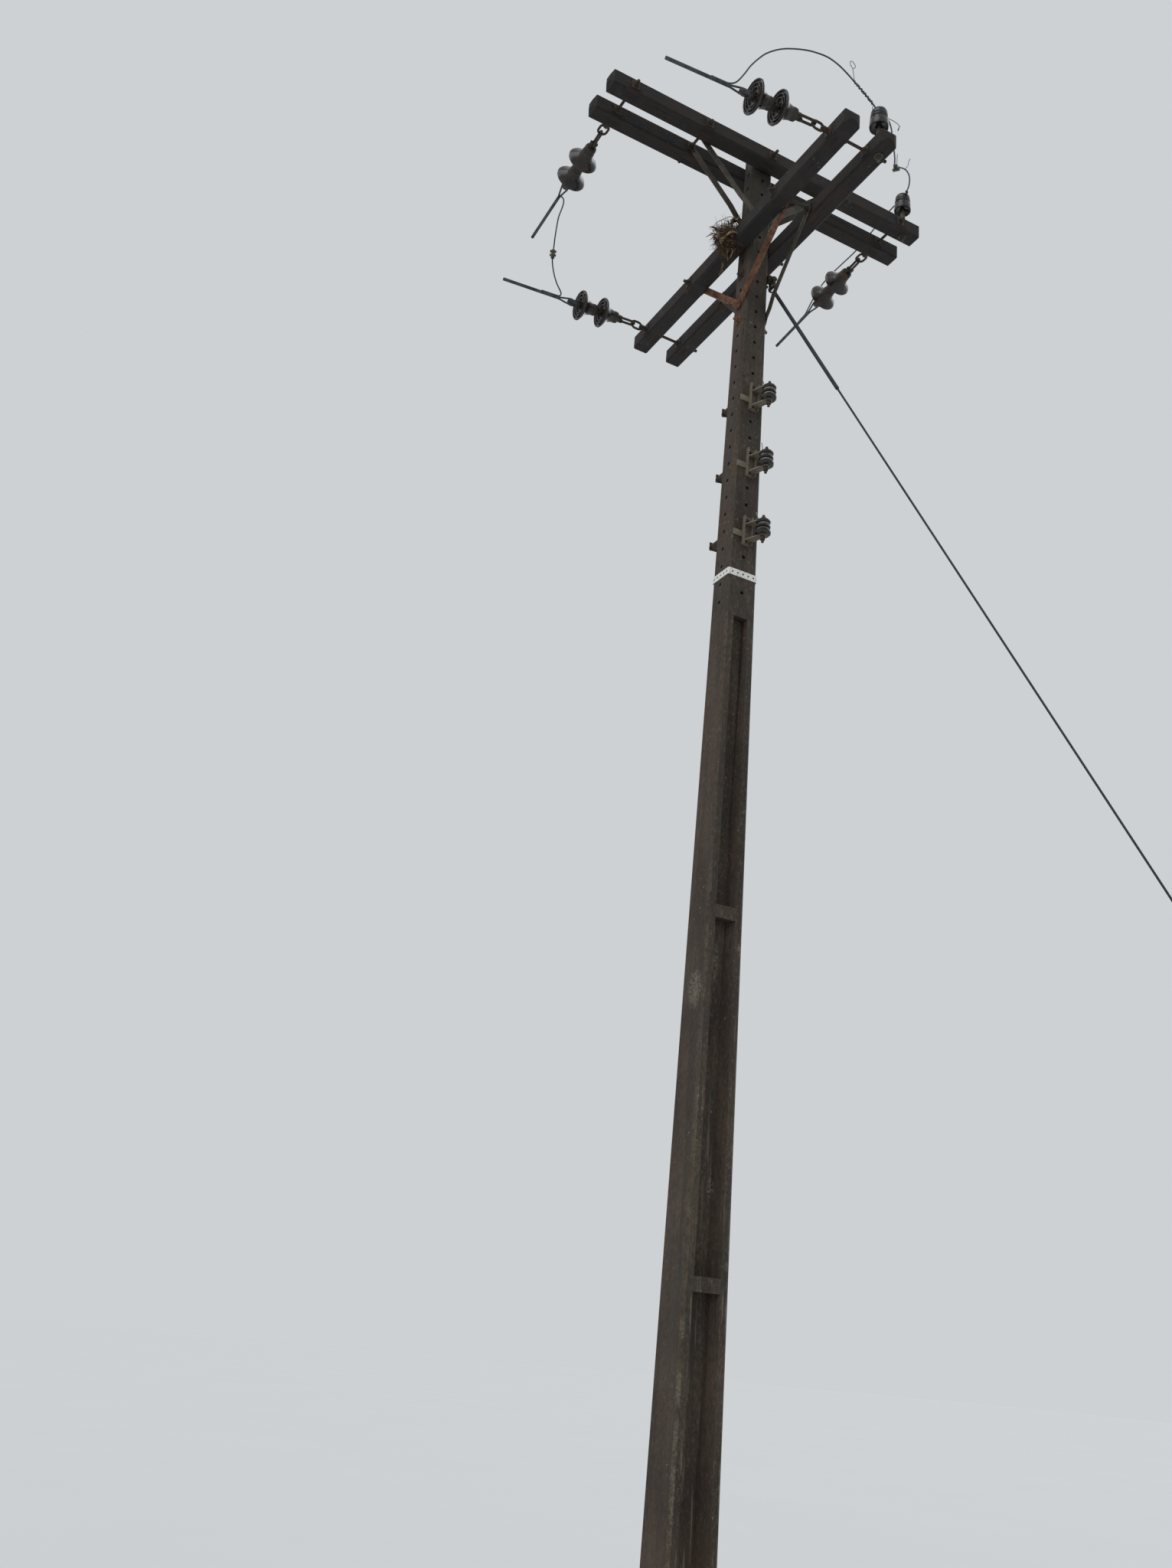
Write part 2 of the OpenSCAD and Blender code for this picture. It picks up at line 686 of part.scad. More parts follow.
// Perforated band around the pole.
module strap() {
  w = pole_w(strap_z - 18) + 2 * seat;
  d = pole_d(strap_z - 18) + 2 * seat;
  c = corner_chamfer * 0.6;
  t = 2;
  color(pale)
    translate([0, 0, strap_z])
      difference() {
        linear_extrude(36, center = true)
          polygon([[-w / 2 - t + c, -d / 2 - t], [w / 2 + t - c, -d / 2 - t],
            [w / 2 + t, -d / 2 - t + c], [w / 2 + t, d / 2 + t - c], [w / 2 + t - c, d / 2 + t],
            [-w / 2 - t + c, d / 2 + t], [-w / 2 - t, d / 2 + t - c],
            [-w / 2 - t, -d / 2 - t + c]]);
        linear_extrude(40, center = true)
          polygon([[-w / 2 + c, -d / 2], [w / 2 - c, -d / 2], [w / 2, -d / 2 + c],
            [w / 2, d / 2 - c], [w / 2 - c, d / 2], [-w / 2 + c, d / 2], [-w / 2, d / 2 - c],
            [-w / 2, -d / 2 + c]]);
        for (k = [-2:2]) {
          translate([k * 30, 0, 0]) rotate([90, 0, 0]) cylinder(d = 10, h = 400, center = true, $fn = 24);
          translate([0, k * 28, 0]) rotate([0, 90, 0]) cylinder(d = 10, h = 400, center = true, $fn = 24);
        }
      }
}

// Fastener that closes the band on the back of the pole.
module strap_buckle() {
  d = pole_d(strap_z - 18) / 2 + seat + 2 + seat;
  color(pale)
    translate([0, d, strap_z]) {
      translate([-24, 0, -20]) cube([48, 5, 40]);
      translate([0, 4, 0]) rotate([-90, 0, 0]) cylinder(d = 20, h = 12, $fn = 6);
    }
}

// Plate with a turned ear for the stay, bolted to the smooth face.
module stay_plate() {
  x = pole_w(stay_z - 26) / 2 + seat;
  color(steel)
    difference() {
      union() {
        translate([x, -62, stay_z - 25]) cube([6, 90, 50]);
        translate([x, -62, stay_z - 25]) cube([40, 6, 50]);
        translate([-x - 26, 0, stay_z]) rotate([0, 90, 0]) cylinder(d = 16, h = 2 * x + 60, $fn = 24);
        translate([x + 5, 0, stay_z]) rotate([0, 90, 0]) cylinder(d = 30, h = 15, $fn = 6);
        translate([-x - 4, -22, stay_z - 22]) cube([4, 44, 44]);
        translate([-x - 17, 0, stay_z]) rotate([0, 90, 0]) cylinder(d = 30, h = 14, $fn = 6);
      }
      translate([x + 25, 0, stay_z - 4])
        rotate([90, 0, 0]) cylinder(d = shackle_pin + 2 * seat, h = 200, center = true, $fn = 32);
    }
}

stay_foot = [2478, -2446, 150];
bow = [pole_w(stay_z - 26) / 2 + seat + 25, -59, stay_z - 54];
stay_top = bow - 15.25 * (stay_foot - bow) / norm(stay_foot - bow);
shackle_pin = 16;
stay_run = stay_foot - stay_top;
stay_long = norm(stay_run);
stay_tilt = acos(stay_run[2] / stay_long);
stay_turn = atan2(stay_run[1], stay_run[0]);

module along_stay() {
  translate(stay_top) rotate([0, stay_tilt, stay_turn]) children();
}

// Bow shackle through the ear, its bow carrying the wound loop.
module stay_shackle() {
  x = pole_w(stay_z - 26) / 2 + seat;
  color(steel)
    translate([x + 25, -59, stay_z - 4]) {
      rotate([90, 0, 0]) cylinder(d = shackle_pin, h = 50, center = true, $fn = 24);
      for (side = [-1, 1])
        translate([0, side * 19, 0])
          rotate([90, 0, 0])
            linear_extrude(9, center = true)
              union() {
                circle(d = 30, $fn = 40);
                translate([-7, -50]) square([14, 50]);
                translate([0, -50]) circle(d = 14, $fn = 32);
              }
      translate([0, 0, -50]) rotate([90, 0, 0]) cylinder(d = 12, h = 47, center = true, $fn = 24);
    }
}

module stay_strand() {
  color(wire)
    along_stay() {
      translate([0, 0, 44]) cylinder(d = 18, h = 760, $fn = 24);
      translate([0, 0, 800]) cylinder(d = stay_diameter, h = stay_long - 1600, $fn = 20);
      translate([0, 0, stay_long - 804]) cylinder(d = 18, h = 760, $fn = 24);
      for (z = [22, stay_long - 22])
        translate([0, 0, z])
          rotate([90, 0, 0])
            rotate_extrude($fn = 48) translate([20, 0]) circle(d = 9, $fn = 16);
    }
}

// Forged rod that rises from the ground along the line of the stay.
module anchor_rod() {
  drop = 190;
  color(rust)
    intersection() {
      along_stay() {
        translate([0, 0, stay_long + 29]) cylinder(d = 19, h = drop + 60, $fn = 32);
        translate([0, 0, stay_long + 8.7])
          rotate([90, 0, 90])
            rotate_extrude($fn = 48) translate([22, 0]) circle(d = 13, $fn = 16);
      }
      translate([stay_foot[0] - 900, stay_foot[1] - 1100, 0]) cube([2000, 2000, 600]);
    }
}

// Points of the two bridging wires, round numbers measured on the object.
wire_left_points = [[-874, 822, 7351], [-874, 782, 7355], [-874, 758, 7357.6],
  [-870, 742, 7359.5], [-861, 728, 7356], [-852, 719, 7342], [-847, 716, 7323],
  [-845, 722, 7300], [-846, 738, 7272], [-849, 757, 7238], [-847, 774, 7180],
  [-843, 790, 7118], [-840, 797, 7076], [-838, 803, 7038], [-832, 817, 6984],
  [-822, 827, 6954], [-806, 840, 6924], [-788, 850, 6894], [-769, 859, 6870],
  [-750, 868, 6855], [-734, 875, 6842], [-727, 880, 6829], [-733, 884.5, 6819],
  [-750, 886, 6814.8], [-777, 886, 6811.8], [-816, 886, 6808], [-846, 886, 6805.1]];
wire_right_points = [[-836, -874, 6806.2], [-797, -874, 6810], [-767, -874, 6812.8],
  [-742, -874, 6817], [-720, -874, 6829], [-702, -875, 6845], [-684, -876, 6872],
  [-657, -878, 6926], [-628, -880, 6990], [-588, -882, 7058], [-545, -884, 7118],
  [-475, -889, 7182], [-398, -893, 7229], [-305, -898, 7268], [-211, -903, 7285],
  [-150, -906, 7275], [-99, -909, 7250], [-34, -913, 7205], [25, -917, 7160],
  [60, -921, 7128], [82, -924, 7104], [96, -922.2, 7092], [112, -920, 7089.7],
  [150, -914.7, 7089.7], [190, -898, 7094], [240, -856, 7113], [300, -790, 7150],
  [362, -722, 7196], [431, -645, 7250], [484, -586, 7280], [530, -530, 7296],
  [574, -494, 7338], [620, -470, 7384], [674, -444, 7422], [722, -410, 7450],
  [766, -368, 7478], [812, -312, 7510], [850, -258, 7542], [884, -204, 7580],
  [912, -166, 7618], [930, -150, 7638], [940, -134, 7645.7], [941, -97, 7645.7],
  [942, -56, 7645], [942, 40, 7638], [942, 130, 7622], [941, 235, 7596], [940, 341, 7575],
  [936, 466, 7568], [927, 565, 7554], [916, 635, 7524], [905, 690, 7476], [896, 724, 7428],
  [890, 742, 7396], [887, 754, 7378], [886, 768, 7368], [886, 784, 7365],
  [886, 822, 7361.2]];

// Round wire swept as one eight sided tube along its points.
module wire_tube(points, d) {
  n = len(points);
  aside = [1, -1, 0.2];
  function heading(i) =
    let (a = points[max(i - 1, 0)], b = points[min(i + 1, n - 1)]) (b - a) / norm(b - a);
  function ring(i) =
    let (t = heading(i), u = cross(aside, t) / norm(cross(aside, t)), v = cross(t, u))
    [for (k = [0:7]) points[i] + (u * cos(45 * k) + v * sin(45 * k)) * d / 2];
  skin = [for (i = [0:n - 1]) each ring(i)];
  sides = [for (i = [0:n - 2]) for (k = [0:7])
    [8 * i + k, 8 * i + 8 + k, 8 * i + 8 + (k + 1) % 8, 8 * i + (k + 1) % 8]];
  polyhedron(skin, concat([[for (k = [0:7]) k]], sides,
    [[for (k = [0:7]) 8 * (n - 1) + 7 - k]]));
}

module wire_left() { color(wire) wire_tube(wire_left_points, wire_diameter); }
module wire_right() { color(wire) wire_tube(wire_right_points, wire_diameter); }

// Two-bolt clamp closed around a wire that runs along local Z.
module wire_clamp() {
  difference() {
    union() {
      cube([30, 20, 42], center = true);
      for (z = [-11, 11])
        translate([10, 0, z]) rotate([90, 0, 0]) cylinder(d = 14, h = 36, center = true, $fn = 6);
    }
    translate([-4, 0, 0]) cylinder(d = wire_diameter + 1, h = 60, center = true, $fn = 24);
    translate([-17, -1, -30]) cube([12, 2, 60]);
  }
}

// Puts a clamp on the straight stretch that starts at point i of a wire.
module clamp_on(points, i) {
  run = points[i + 1] - points[i];
  translate((points[i] + points[i + 1]) / 2)
    rotate([0, acos(run[2] / norm(run)), atan2(run[1], run[0])])
      translate([4, 0, 0]) wire_clamp();
}

module wire_clamps() {
  color(steel) {
    clamp_on(wire_left_points, 13);
    clamp_on(wire_right_points, 30);
  }
}

pole();
arm_upper_near();
arm_upper_far();
arm_lower_left();
arm_lower_right();
bolts_upper();
bolts_lower();
brace_bolts();
brace_upper_near();
brace_upper_far();
brace_lower_left();
brace_lower_right();
eye_1();
eye_2();
eye_3();
eye_4();
caps_1();
caps_2();
caps_3();
caps_4();
bells_1();
bells_2();
bells_3();
bells_4();
grip_1();
grip_2();
grip_3();
grip_4();
insulator_pins();
pin_insulators();
rack_brackets();
rack_spools();
rack_bolts();
strap();
strap_buckle();
stay_plate();
stay_shackle();
stay_strand();
anchor_rod();
wire_left();
wire_right();
wire_clamps();
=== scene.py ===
# %% [markdown]
# # A weathered concrete distribution pole
# This pole is made for a corner, so it is pulled two ways. It is cast concrete with pockets in two
# faces, and it carries two crossed pairs of hardwood arms, four strings of porcelain discs, two pin
# insulators, three racks with spools and a wire stay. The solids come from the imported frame, in
# metres, and stay as they are. Here they get their finishes, and the small things that a solid
# model leaves out are added: strands, threads, split pins, tie wires and a ball of straw.

# %% Load the frame
import bpy
import math
import random
import numpy as np
from types import SimpleNamespace
from mathutils import Matrix, Vector


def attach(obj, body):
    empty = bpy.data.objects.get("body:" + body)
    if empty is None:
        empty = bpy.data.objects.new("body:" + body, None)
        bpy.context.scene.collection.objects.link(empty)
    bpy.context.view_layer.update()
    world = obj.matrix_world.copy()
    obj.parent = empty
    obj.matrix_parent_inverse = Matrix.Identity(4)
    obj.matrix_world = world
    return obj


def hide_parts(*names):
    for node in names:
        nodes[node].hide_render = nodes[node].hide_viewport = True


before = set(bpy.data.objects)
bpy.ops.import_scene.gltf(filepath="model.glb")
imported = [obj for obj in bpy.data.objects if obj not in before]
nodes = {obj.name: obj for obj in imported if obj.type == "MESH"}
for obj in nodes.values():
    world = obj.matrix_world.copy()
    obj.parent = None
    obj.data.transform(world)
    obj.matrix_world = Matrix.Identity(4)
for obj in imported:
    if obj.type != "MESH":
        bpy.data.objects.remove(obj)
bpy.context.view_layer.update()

# %% [markdown]
# ## The camera
# The photograph looks up at the pole from 1.2 m above its ground line, a little more than six
# metres away, and it leans a few degrees. A camera's matrix holds three directions as its columns:
# its right, its up, and backwards. The focal length was found in pixels of the photograph, which
# is 2048 pixels high, and is turned into millimetres on a frame 36 mm high.

# %% Place the camera
sensor = 36.0
focal_pixels, picture_height = 1874.18, 2048


def turned_camera(name, place, yaw, pitch, roll, lens):
    forward = Vector((math.sin(yaw) * math.cos(pitch), math.cos(yaw) * math.cos(pitch), math.sin(pitch)))
    level = Vector((math.cos(yaw), -math.sin(yaw), 0.0))
    above = level.cross(forward)
    right = level * math.cos(roll) + above * math.sin(roll)
    up = above * math.cos(roll) - level * math.sin(roll)
    data = bpy.data.cameras.new(name)
    data.sensor_fit = "VERTICAL"
    data.sensor_height = sensor
    data.lens = lens
    data.clip_end = 200.0
    camera = bpy.data.objects.new(name, data)
    camera.matrix_world = Matrix.Translation(place) @ Matrix((right, up, -forward)).transposed().to_4x4()
    bpy.context.scene.collection.objects.link(camera)
    return camera


eye = turned_camera("photo_side_camera", Vector((-3.3021, -5.2578, 1.2341)),
                    0.4586, 0.3739, 0.0947, focal_pixels * sensor / picture_height)
bpy.context.scene.camera = eye
print("camera looks along", [round(v, 3) for v in -eye.matrix_world.col[2].xyz])

# %% [markdown]
# ## Mesh helpers
# Most small pieces here are wires. A wire is a section swept along a path, so one function walks
# along the path and carries a small cross of two directions with it. Turning that cross only as
# much as the path turns (parallel transport) keeps the section from spinning. A twist is then
# added on purpose where the wire is laid up from strands.

# %% Meshes and swept wires
def mesh_object(name, verts, faces, smooth=True):
    data = bpy.data.meshes.new(name)
    data.from_pydata([tuple(v) for v in verts], [], faces)
    data.update()
    data.polygons.foreach_set("use_smooth", [smooth] * len(data.polygons))
    made = bpy.data.objects.new(name, data)
    bpy.context.scene.collection.objects.link(made)
    return made


def even_path(points, step):
    """The points joined by a smooth curve and cut into equal steps."""
    p = np.array(points, float)
    p = np.vstack([2 * p[0] - p[1], p, 2 * p[-1] - p[-2]])
    dense = []
    for i in range(1, len(p) - 2):
        a, b, c, d = p[i - 1:i + 3]
        tb = (c - a) * 0.5
        tc = (d - b) * 0.5
        span = np.linalg.norm(c - b)
        tb *= min(1.0, span / max(np.linalg.norm(tb), 1e-9))
        tc *= min(1.0, span / max(np.linalg.norm(tc), 1e-9))
        for t in np.linspace(0, 1, 12, endpoint=False):
            dense.append((2 * t**3 - 3 * t**2 + 1) * b + (t**3 - 2 * t**2 + t) * tb
                         + (-2 * t**3 + 3 * t**2) * c + (t**3 - t**2) * tc)
    dense.append(p[-2])
    dense = np.array(dense)
    run = np.concatenate([[0], np.cumsum(np.linalg.norm(np.diff(dense, axis=0), axis=1))])
    count = max(int(round(run[-1] / step)), 2)
    marks = np.linspace(0, run[-1], count + 1)
    return np.stack([np.interp(marks, run, dense[:, k]) for k in range(3)], axis=1), run[-1]


def carried_frames(path):
    """Two directions across the path at each point, turned no more than the path turns."""
    heading = np.gradient(path, axis=0)
    heading /= np.linalg.norm(heading, axis=1)[:, None]
    start = np.array([0.0, 0.0, 1.0]) if abs(heading[0][2]) < 0.9 else np.array([1.0, 0.0, 0.0])
    side = np.cross(start, heading[0])
    side /= np.linalg.norm(side)
    sides = []
    for t in heading:
        side = side - t * side.dot(t)
        side /= np.linalg.norm(side)
        sides.append(side.copy())
    sides = np.array(sides)
    return sides, np.cross(heading, sides)


def sweep(name, path, section, lay=None):
    """Sweeps a closed section of 2-D points along a path, with one turn in each length of lay."""
    sides, ups = carried_frames(path)
    run = np.concatenate([[0], np.cumsum(np.linalg.norm(np.diff(path, axis=0), axis=1))])
    n = len(section)
    verts, faces = [], []
    for i, at in enumerate(path):
        turned = 2 * math.pi * run[i] / lay if lay else 0.0
        c, s = math.cos(turned), math.sin(turned)
        for x, y in section:
            verts.append(at + sides[i] * (x * c - y * s) + ups[i] * (x * s + y * c))
    for i in range(len(path) - 1):
        for j in range(n):
            faces.append((i * n + j, i * n + (j + 1) % n, (i + 1) * n + (j + 1) % n, (i + 1) * n + j))
    faces.append(tuple(reversed(range(n))))
    faces.append(tuple(range((len(path) - 1) * n, len(path) * n)))
    return mesh_object(name, verts, faces)


def strand_section(radius, lobes, depth, per_lobe=6):
    """Outline of wires laid side by side: round humps with narrow valleys between them."""
    out = []
    for k in range(lobes * per_lobe):
        a = 2 * math.pi * k / (lobes * per_lobe)
        hump = abs(math.cos(a * lobes / 2)) ** 0.55
        reach = radius - depth * (1 - hump)
        out.append((math.cos(a) * reach, math.sin(a) * reach))
    return out


def round_section(radius, corners):
    angles = np.linspace(0, 2 * math.pi, corners + 1)[:-1]
    return [(radius * math.cos(a), radius * math.sin(a)) for a in angles]


def joined(name, pieces):
    """One object made from several, with their meshes added up."""
    verts, faces = [], []
    for piece in pieces:
        base = len(verts)
        verts += [tuple(piece.matrix_world @ v.co) for v in piece.data.vertices]
        faces += [tuple(base + i for i in f.vertices) for f in piece.data.polygons]
        data = piece.data
        bpy.data.objects.remove(piece)
        bpy.data.meshes.remove(data)
    return mesh_object(name, verts, faces)


trial = strand_section(0.004, 6, 0.0009)
valley = min(map(math.hypot, *zip(*trial)))
print("a strand's outline has", len(trial), "points, the lowest", round(valley, 4), "m out")

# %% [markdown]
# ## The bridging wires
# Two short wires carry the current around the pole, from string to string. Each is free between
# its ends, so each follows its own route, and its length is printed: the left one hangs between
# strings 1 and 4, the long one rises from string 3 over the two pin insulators to string 2. The wire is
# aluminium
# laid up from six outer strands, which a plain round tube would hide, so the section has six humps
# and turns once every 90 mm. The routes are lists of points in millimetres.

# %% Sweep the two bridging wires
left_route = [(-874, 822, 7351), (-874, 782, 7355), (-874, 758, 7357.6), (-870, 742, 7359.5),
              (-861, 728, 7356), (-852, 719, 7342), (-847, 716, 7323), (-845, 722, 7300),
              (-846, 738, 7272), (-849, 757, 7238), (-847, 774, 7180), (-843, 790, 7118),
              (-840, 797, 7076), (-838, 803, 7038), (-832, 817, 6984), (-822, 827, 6954),
              (-806, 840, 6924), (-788, 850, 6894), (-769, 859, 6870), (-750, 868, 6855),
              (-734, 875, 6842), (-727, 880, 6829), (-733, 884.5, 6819), (-750, 886, 6814.8),
              (-777, 886, 6811.8), (-816, 886, 6808), (-846, 886, 6805.1)]
right_route = [(-836, -874, 6806.2), (-797, -874, 6810), (-767, -874, 6812.8), (-742, -874, 6817),
               (-720, -874, 6829), (-702, -875, 6845), (-684, -876, 6872), (-657, -878, 6926),
               (-628, -880, 6990), (-588, -882, 7058), (-545, -884, 7118), (-475, -889, 7182),
               (-398, -893, 7229), (-305, -898, 7268), (-211, -903, 7285), (-150, -906, 7275),
               (-99, -909, 7250), (-34, -913, 7205), (25, -917, 7160), (60, -921, 7128),
               (82, -924, 7104), (96, -922.2, 7092), (112, -920, 7089.7), (150, -914.7, 7089.7),
               (190, -898, 7094), (240, -856, 7113), (300, -790, 7150), (362, -722, 7196),
               (431, -645, 7250), (484, -586, 7280), (530, -530, 7296), (574, -494, 7338),
               (620, -470, 7384), (674, -444, 7422), (722, -410, 7450), (766, -368, 7478),
               (812, -312, 7510), (850, -258, 7542), (884, -204, 7580), (912, -166, 7618),
               (930, -150, 7638), (940, -134, 7645.7), (941, -97, 7645.7), (942, -56, 7645),
               (942, 40, 7638), (942, 130, 7622), (941, 235, 7596), (940, 341, 7575),
               (936, 466, 7568), (927, 565, 7554), (916, 635, 7524), (905, 690, 7476),
               (896, 724, 7428), (890, 742, 7396), (887, 754, 7378), (886, 768, 7368),
               (886, 784, 7365), (886, 822, 7361.2)]


def bridging_wire(name, route, node):
    path, length = even_path([(x / 1000, y / 1000, z / 1000) for x, y, z in route], 0.006)
    made = sweep(name, path, strand_section(0.004, 6, 0.0009), lay=0.09)
    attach(made, "root")
    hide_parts(node)
    print(name, "is", round(length, 3), "m long")
    return made, path


left_wire, _ = bridging_wire("bridging_wire_left", left_route, "wire_left")
right_wire, right_path = bridging_wire("bridging_wire_right", right_route, "wire_right")

# %% [markdown]
# ## Writing finishes as sums
# A finish is a little sum: base colour plus stains, minus wear. Node trees get long when every
# sum is wired by hand, so a small class stands for one socket and makes a Math node whenever it is
# added, multiplied or compared. Colours pass through Mix nodes instead, because a Math node would
# turn them grey: `ground` starts a colour and `lay` puts one more tint over it. Every other node
# comes from one method, `node`, which sets the node up first and then fills its sockets.

# %% The socket class and the finish class
class Socket:
    """One output in a node tree, with the usual sums."""

    def __init__(self, finish, out):
        self.finish, self.out = finish, out

    def math(self, kind, other=None, swap=False, clamp=False):
        first, second = (other, self) if swap else (self, other)
        values = {0: first} if second is None else {0: first, 1: second}
        return self.finish.node("ShaderNodeMath", {"operation": kind, "use_clamp": clamp}, values)

    def __add__(self, other): return self.math("ADD", other)
    def __radd__(self, other): return self.math("ADD", other, swap=True)
    def __sub__(self, other): return self.math("SUBTRACT", other)
    def __rsub__(self, other): return self.math("SUBTRACT", other, swap=True)
    def __mul__(self, other): return self.math("MULTIPLY", other)
    def __rmul__(self, other): return self.math("MULTIPLY", other, swap=True)
    def __truediv__(self, other): return self.math("DIVIDE", other)
    def __pow__(self, other): return self.math("POWER", other)
    def __abs__(self): return self.math("ABSOLUTE")

    def at_least(self, other): return self.math("MAXIMUM", other)
    def clamped(self): return self.math("ADD", 0.0, clamp=True)

    def rise(self, low, high):
        """0 below low, 1 above high and a soft step between."""
        return self.finish.node("ShaderNodeMapRange", {"interpolation_type": "SMOOTHSTEP"},
                                {"Value": self, "From Min": low, "From Max": high})


class Finish:
    """A material being written, with its shader as .skin."""

    def __init__(self, name, **uniform):
        self.material = bpy.data.materials.new(name)
        self.material.use_nodes = True
        self.tree = self.material.node_tree
        self.tree.nodes.clear()
        self.skin = self.tree.nodes.new("ShaderNodeBsdfPrincipled")
        end = self.tree.nodes.new("ShaderNodeOutputMaterial")
        self.tree.links.new(self.skin.outputs["BSDF"], end.inputs["Surface"])
        for socket, value in uniform.items():
            self.skin.inputs[socket.replace("_", " ")].default_value = value

    def put(self, node, values):
        for key, value in values.items():
            socket = node.inputs[key]
            if isinstance(value, Socket):
                self.tree.links.new(value.out, socket)
            else:
                socket.default_value = value

    def node(self, kind, settings=None, values=None, out=0):
        made = self.tree.nodes.new(kind)
        for key, value in (settings or {}).items():
            if key == "stops":
                ramp = made.color_ramp
                while len(ramp.elements) < len(value):
                    ramp.elements.new(0.5)
                for element, (place, colour) in zip(ramp.elements, value):
                    element.position, element.color = place, colour
            else:
                setattr(made, key, value)
        self.put(made, values or {})
        return Socket(self, made.outputs[out])

    def place(self):
        """Position on the object in metres, the same from every side."""
        return self.node("ShaderNodeTexCoord", out="Object")

    def stretched(self, by):
        return self.node("ShaderNodeVectorMath", {"operation": "MULTIPLY"}, {0: self.place(), 1: by})

    def parts(self, vector):
        made = self.tree.nodes.new("ShaderNodeSeparateXYZ")
        self.put(made, {0: vector})
        return [Socket(self, made.outputs[k]) for k in range(3)]

    def noise(self, size, where=None, detail=3.0, rough=0.55):
        return self.node("ShaderNodeTexNoise", None,
                         {"Vector": where or self.place(), "Scale": 1 / size, "Detail": detail,
                          "Roughness": rough})

    def cells(self, size, where=None, out="Distance"):
        return self.node("ShaderNodeTexVoronoi", None,
                         {"Vector": where or self.place(), "Scale": 1 / size}, out=out)

    def crumpled(self, size, by):
        """Position pushed about by a noise, so that a pattern on it loses its regular shapes."""
        push = self.node("ShaderNodeTexNoise", None,
                         {"Vector": self.place(), "Scale": 1 / size, "Detail": 2.0}, out="Color")
        push = self.node("ShaderNodeVectorMath", {"operation": "SCALE"}, {0: push, "Scale": by})
        return self.node("ShaderNodeVectorMath", {"operation": "ADD"}, {0: self.place(), 1: push})

    def mix(self, one, two, amount):
        """Colour one turning into colour two, each as three screen values or as a socket."""
        one, two = (paint(*c) if isinstance(c, tuple) else c for c in (one, two))
        return self.node("ShaderNodeMix", {"data_type": "RGBA", "clamp_factor": True},
                         {0: amount, 6: one, 7: two}, out=2)    # 6 and 7 are the colour pair

    def ground(self, one, two, amount):
        self.colour = self.mix(one, two, amount)

    def lay(self, tint, amount):
        self.colour = self.mix(self.colour, tint, amount)

    def relief(self, height, depth, strength):
        return self.node("ShaderNodeBump", None, {"Height": height, "Distance": depth, "Strength": strength})

    def finish(self, rough, normal=None, metal=None, coat=None):
        self.put(self.skin, {"Base Color": self.colour, "Roughness": rough})
        for socket, value in (("Normal", normal), ("Metallic", metal), ("Coat Weight", coat)):
            if value is not None:
                self.put(self.skin, {socket: value})
        return self.material


def paint(red, green, blue):
    """A colour as it looks on a screen, 0 to 255, turned into the light values Blender mixes."""
    light = [((v / 255 + 0.055) / 1.055) ** 2.4 if v > 10 else v / 255 / 12.92 for v in (red, green, blue)]
    return (*light, 1.0)


print("paint(128, 128, 128) =", [round(v, 3) for v in paint(128, 128, 128)])

# %% [markdown]
# ## The pole's own taper
# The pole grows wider towards its foot, 16 mm a metre across the recessed faces and 15.3 mm a metre
# across the smooth ones. Many things below are placed from its faces. Both helpers take a plain
# number or a socket, so that a finish can find the pole's corners as well.

# %% Half widths of the pole
pole_top = 7.5


def half_wide(z):
    return (0.120 + (pole_top - z) * 0.016) / 2


def half_deep(z):
    return (0.100 + (pole_top - z) * 0.0153) / 2


print("half widths at the foot:", round(half_wide(0.0), 4), round(half_deep(0.0), 4))

# %% [markdown]
# ## Damp cast concrete
# The pole has stood in the rain for decades. The cement skin is worn off the edges, so pale and
# dark stones show there. Water has drawn dark streaks down the faces and below every bolt hole,
# black algae sits on the top metre, lichen makes small pale spots, and a few places are rough where
# the concrete was badly packed. All of it is written from the position in metres, so it runs on
# around the corners and keeps its true size. It could be one painted picture, but a picture has
# seams and a fixed sharpness. This first cell only collects the patterns that the next ones mix.

# %% Concrete: the patterns
stone_size = 0.008


def concrete_patterns(f):
    p = SimpleNamespace()
    p.x, p.y, p.z = f.parts(f.place())
    p.nx, p.ny, _ = f.parts(f.node("ShaderNodeNewGeometry", out="Normal"))
    p.facing_x, p.facing_y = abs(p.nx).rise(0.70, 0.92), abs(p.ny).rise(0.70, 0.92)
    p.broad = f.noise(0.50, detail=4.0)
    p.patch = f.noise(0.14, detail=5.0, rough=0.62)
    p.sand = f.noise(0.0045, detail=3.0, rough=0.7)
    p.grit = f.noise(0.0022, detail=2.0, rough=0.8)
    p.mottle = f.noise(0.011, f.stretched((1.0, 1.0, 0.45)), detail=5.0, rough=0.78)
    p.streak = f.noise(0.026, f.stretched((1.0, 1.0, 0.04)), detail=5.0, rough=0.62)
    p.wet = f.noise(0.075, f.stretched((1.0, 1.0, 0.10)), detail=4.0)
    crumbled = f.crumpled(0.004, 0.006)
    p.grains = f.cells(stone_size, crumbled)
    p.grain_tint = f.node("ShaderNodeRGBToBW", None, {0: f.cells(stone_size, crumbled, out="Color")})
    p.stone = f.mix((70, 61, 50), (134, 125, 109), p.grain_tint)
    return p


print("stones of", stone_size, "m")

# %% [markdown]
# ## The cement skin
# Wet cement is grey brown, and the two smooth faces are redder. Over that lie sand and small pale
# stones, which show most on the lower recessed faces. Each line lays one thing over the last, as a
# painter would, and the mask says where and how much.

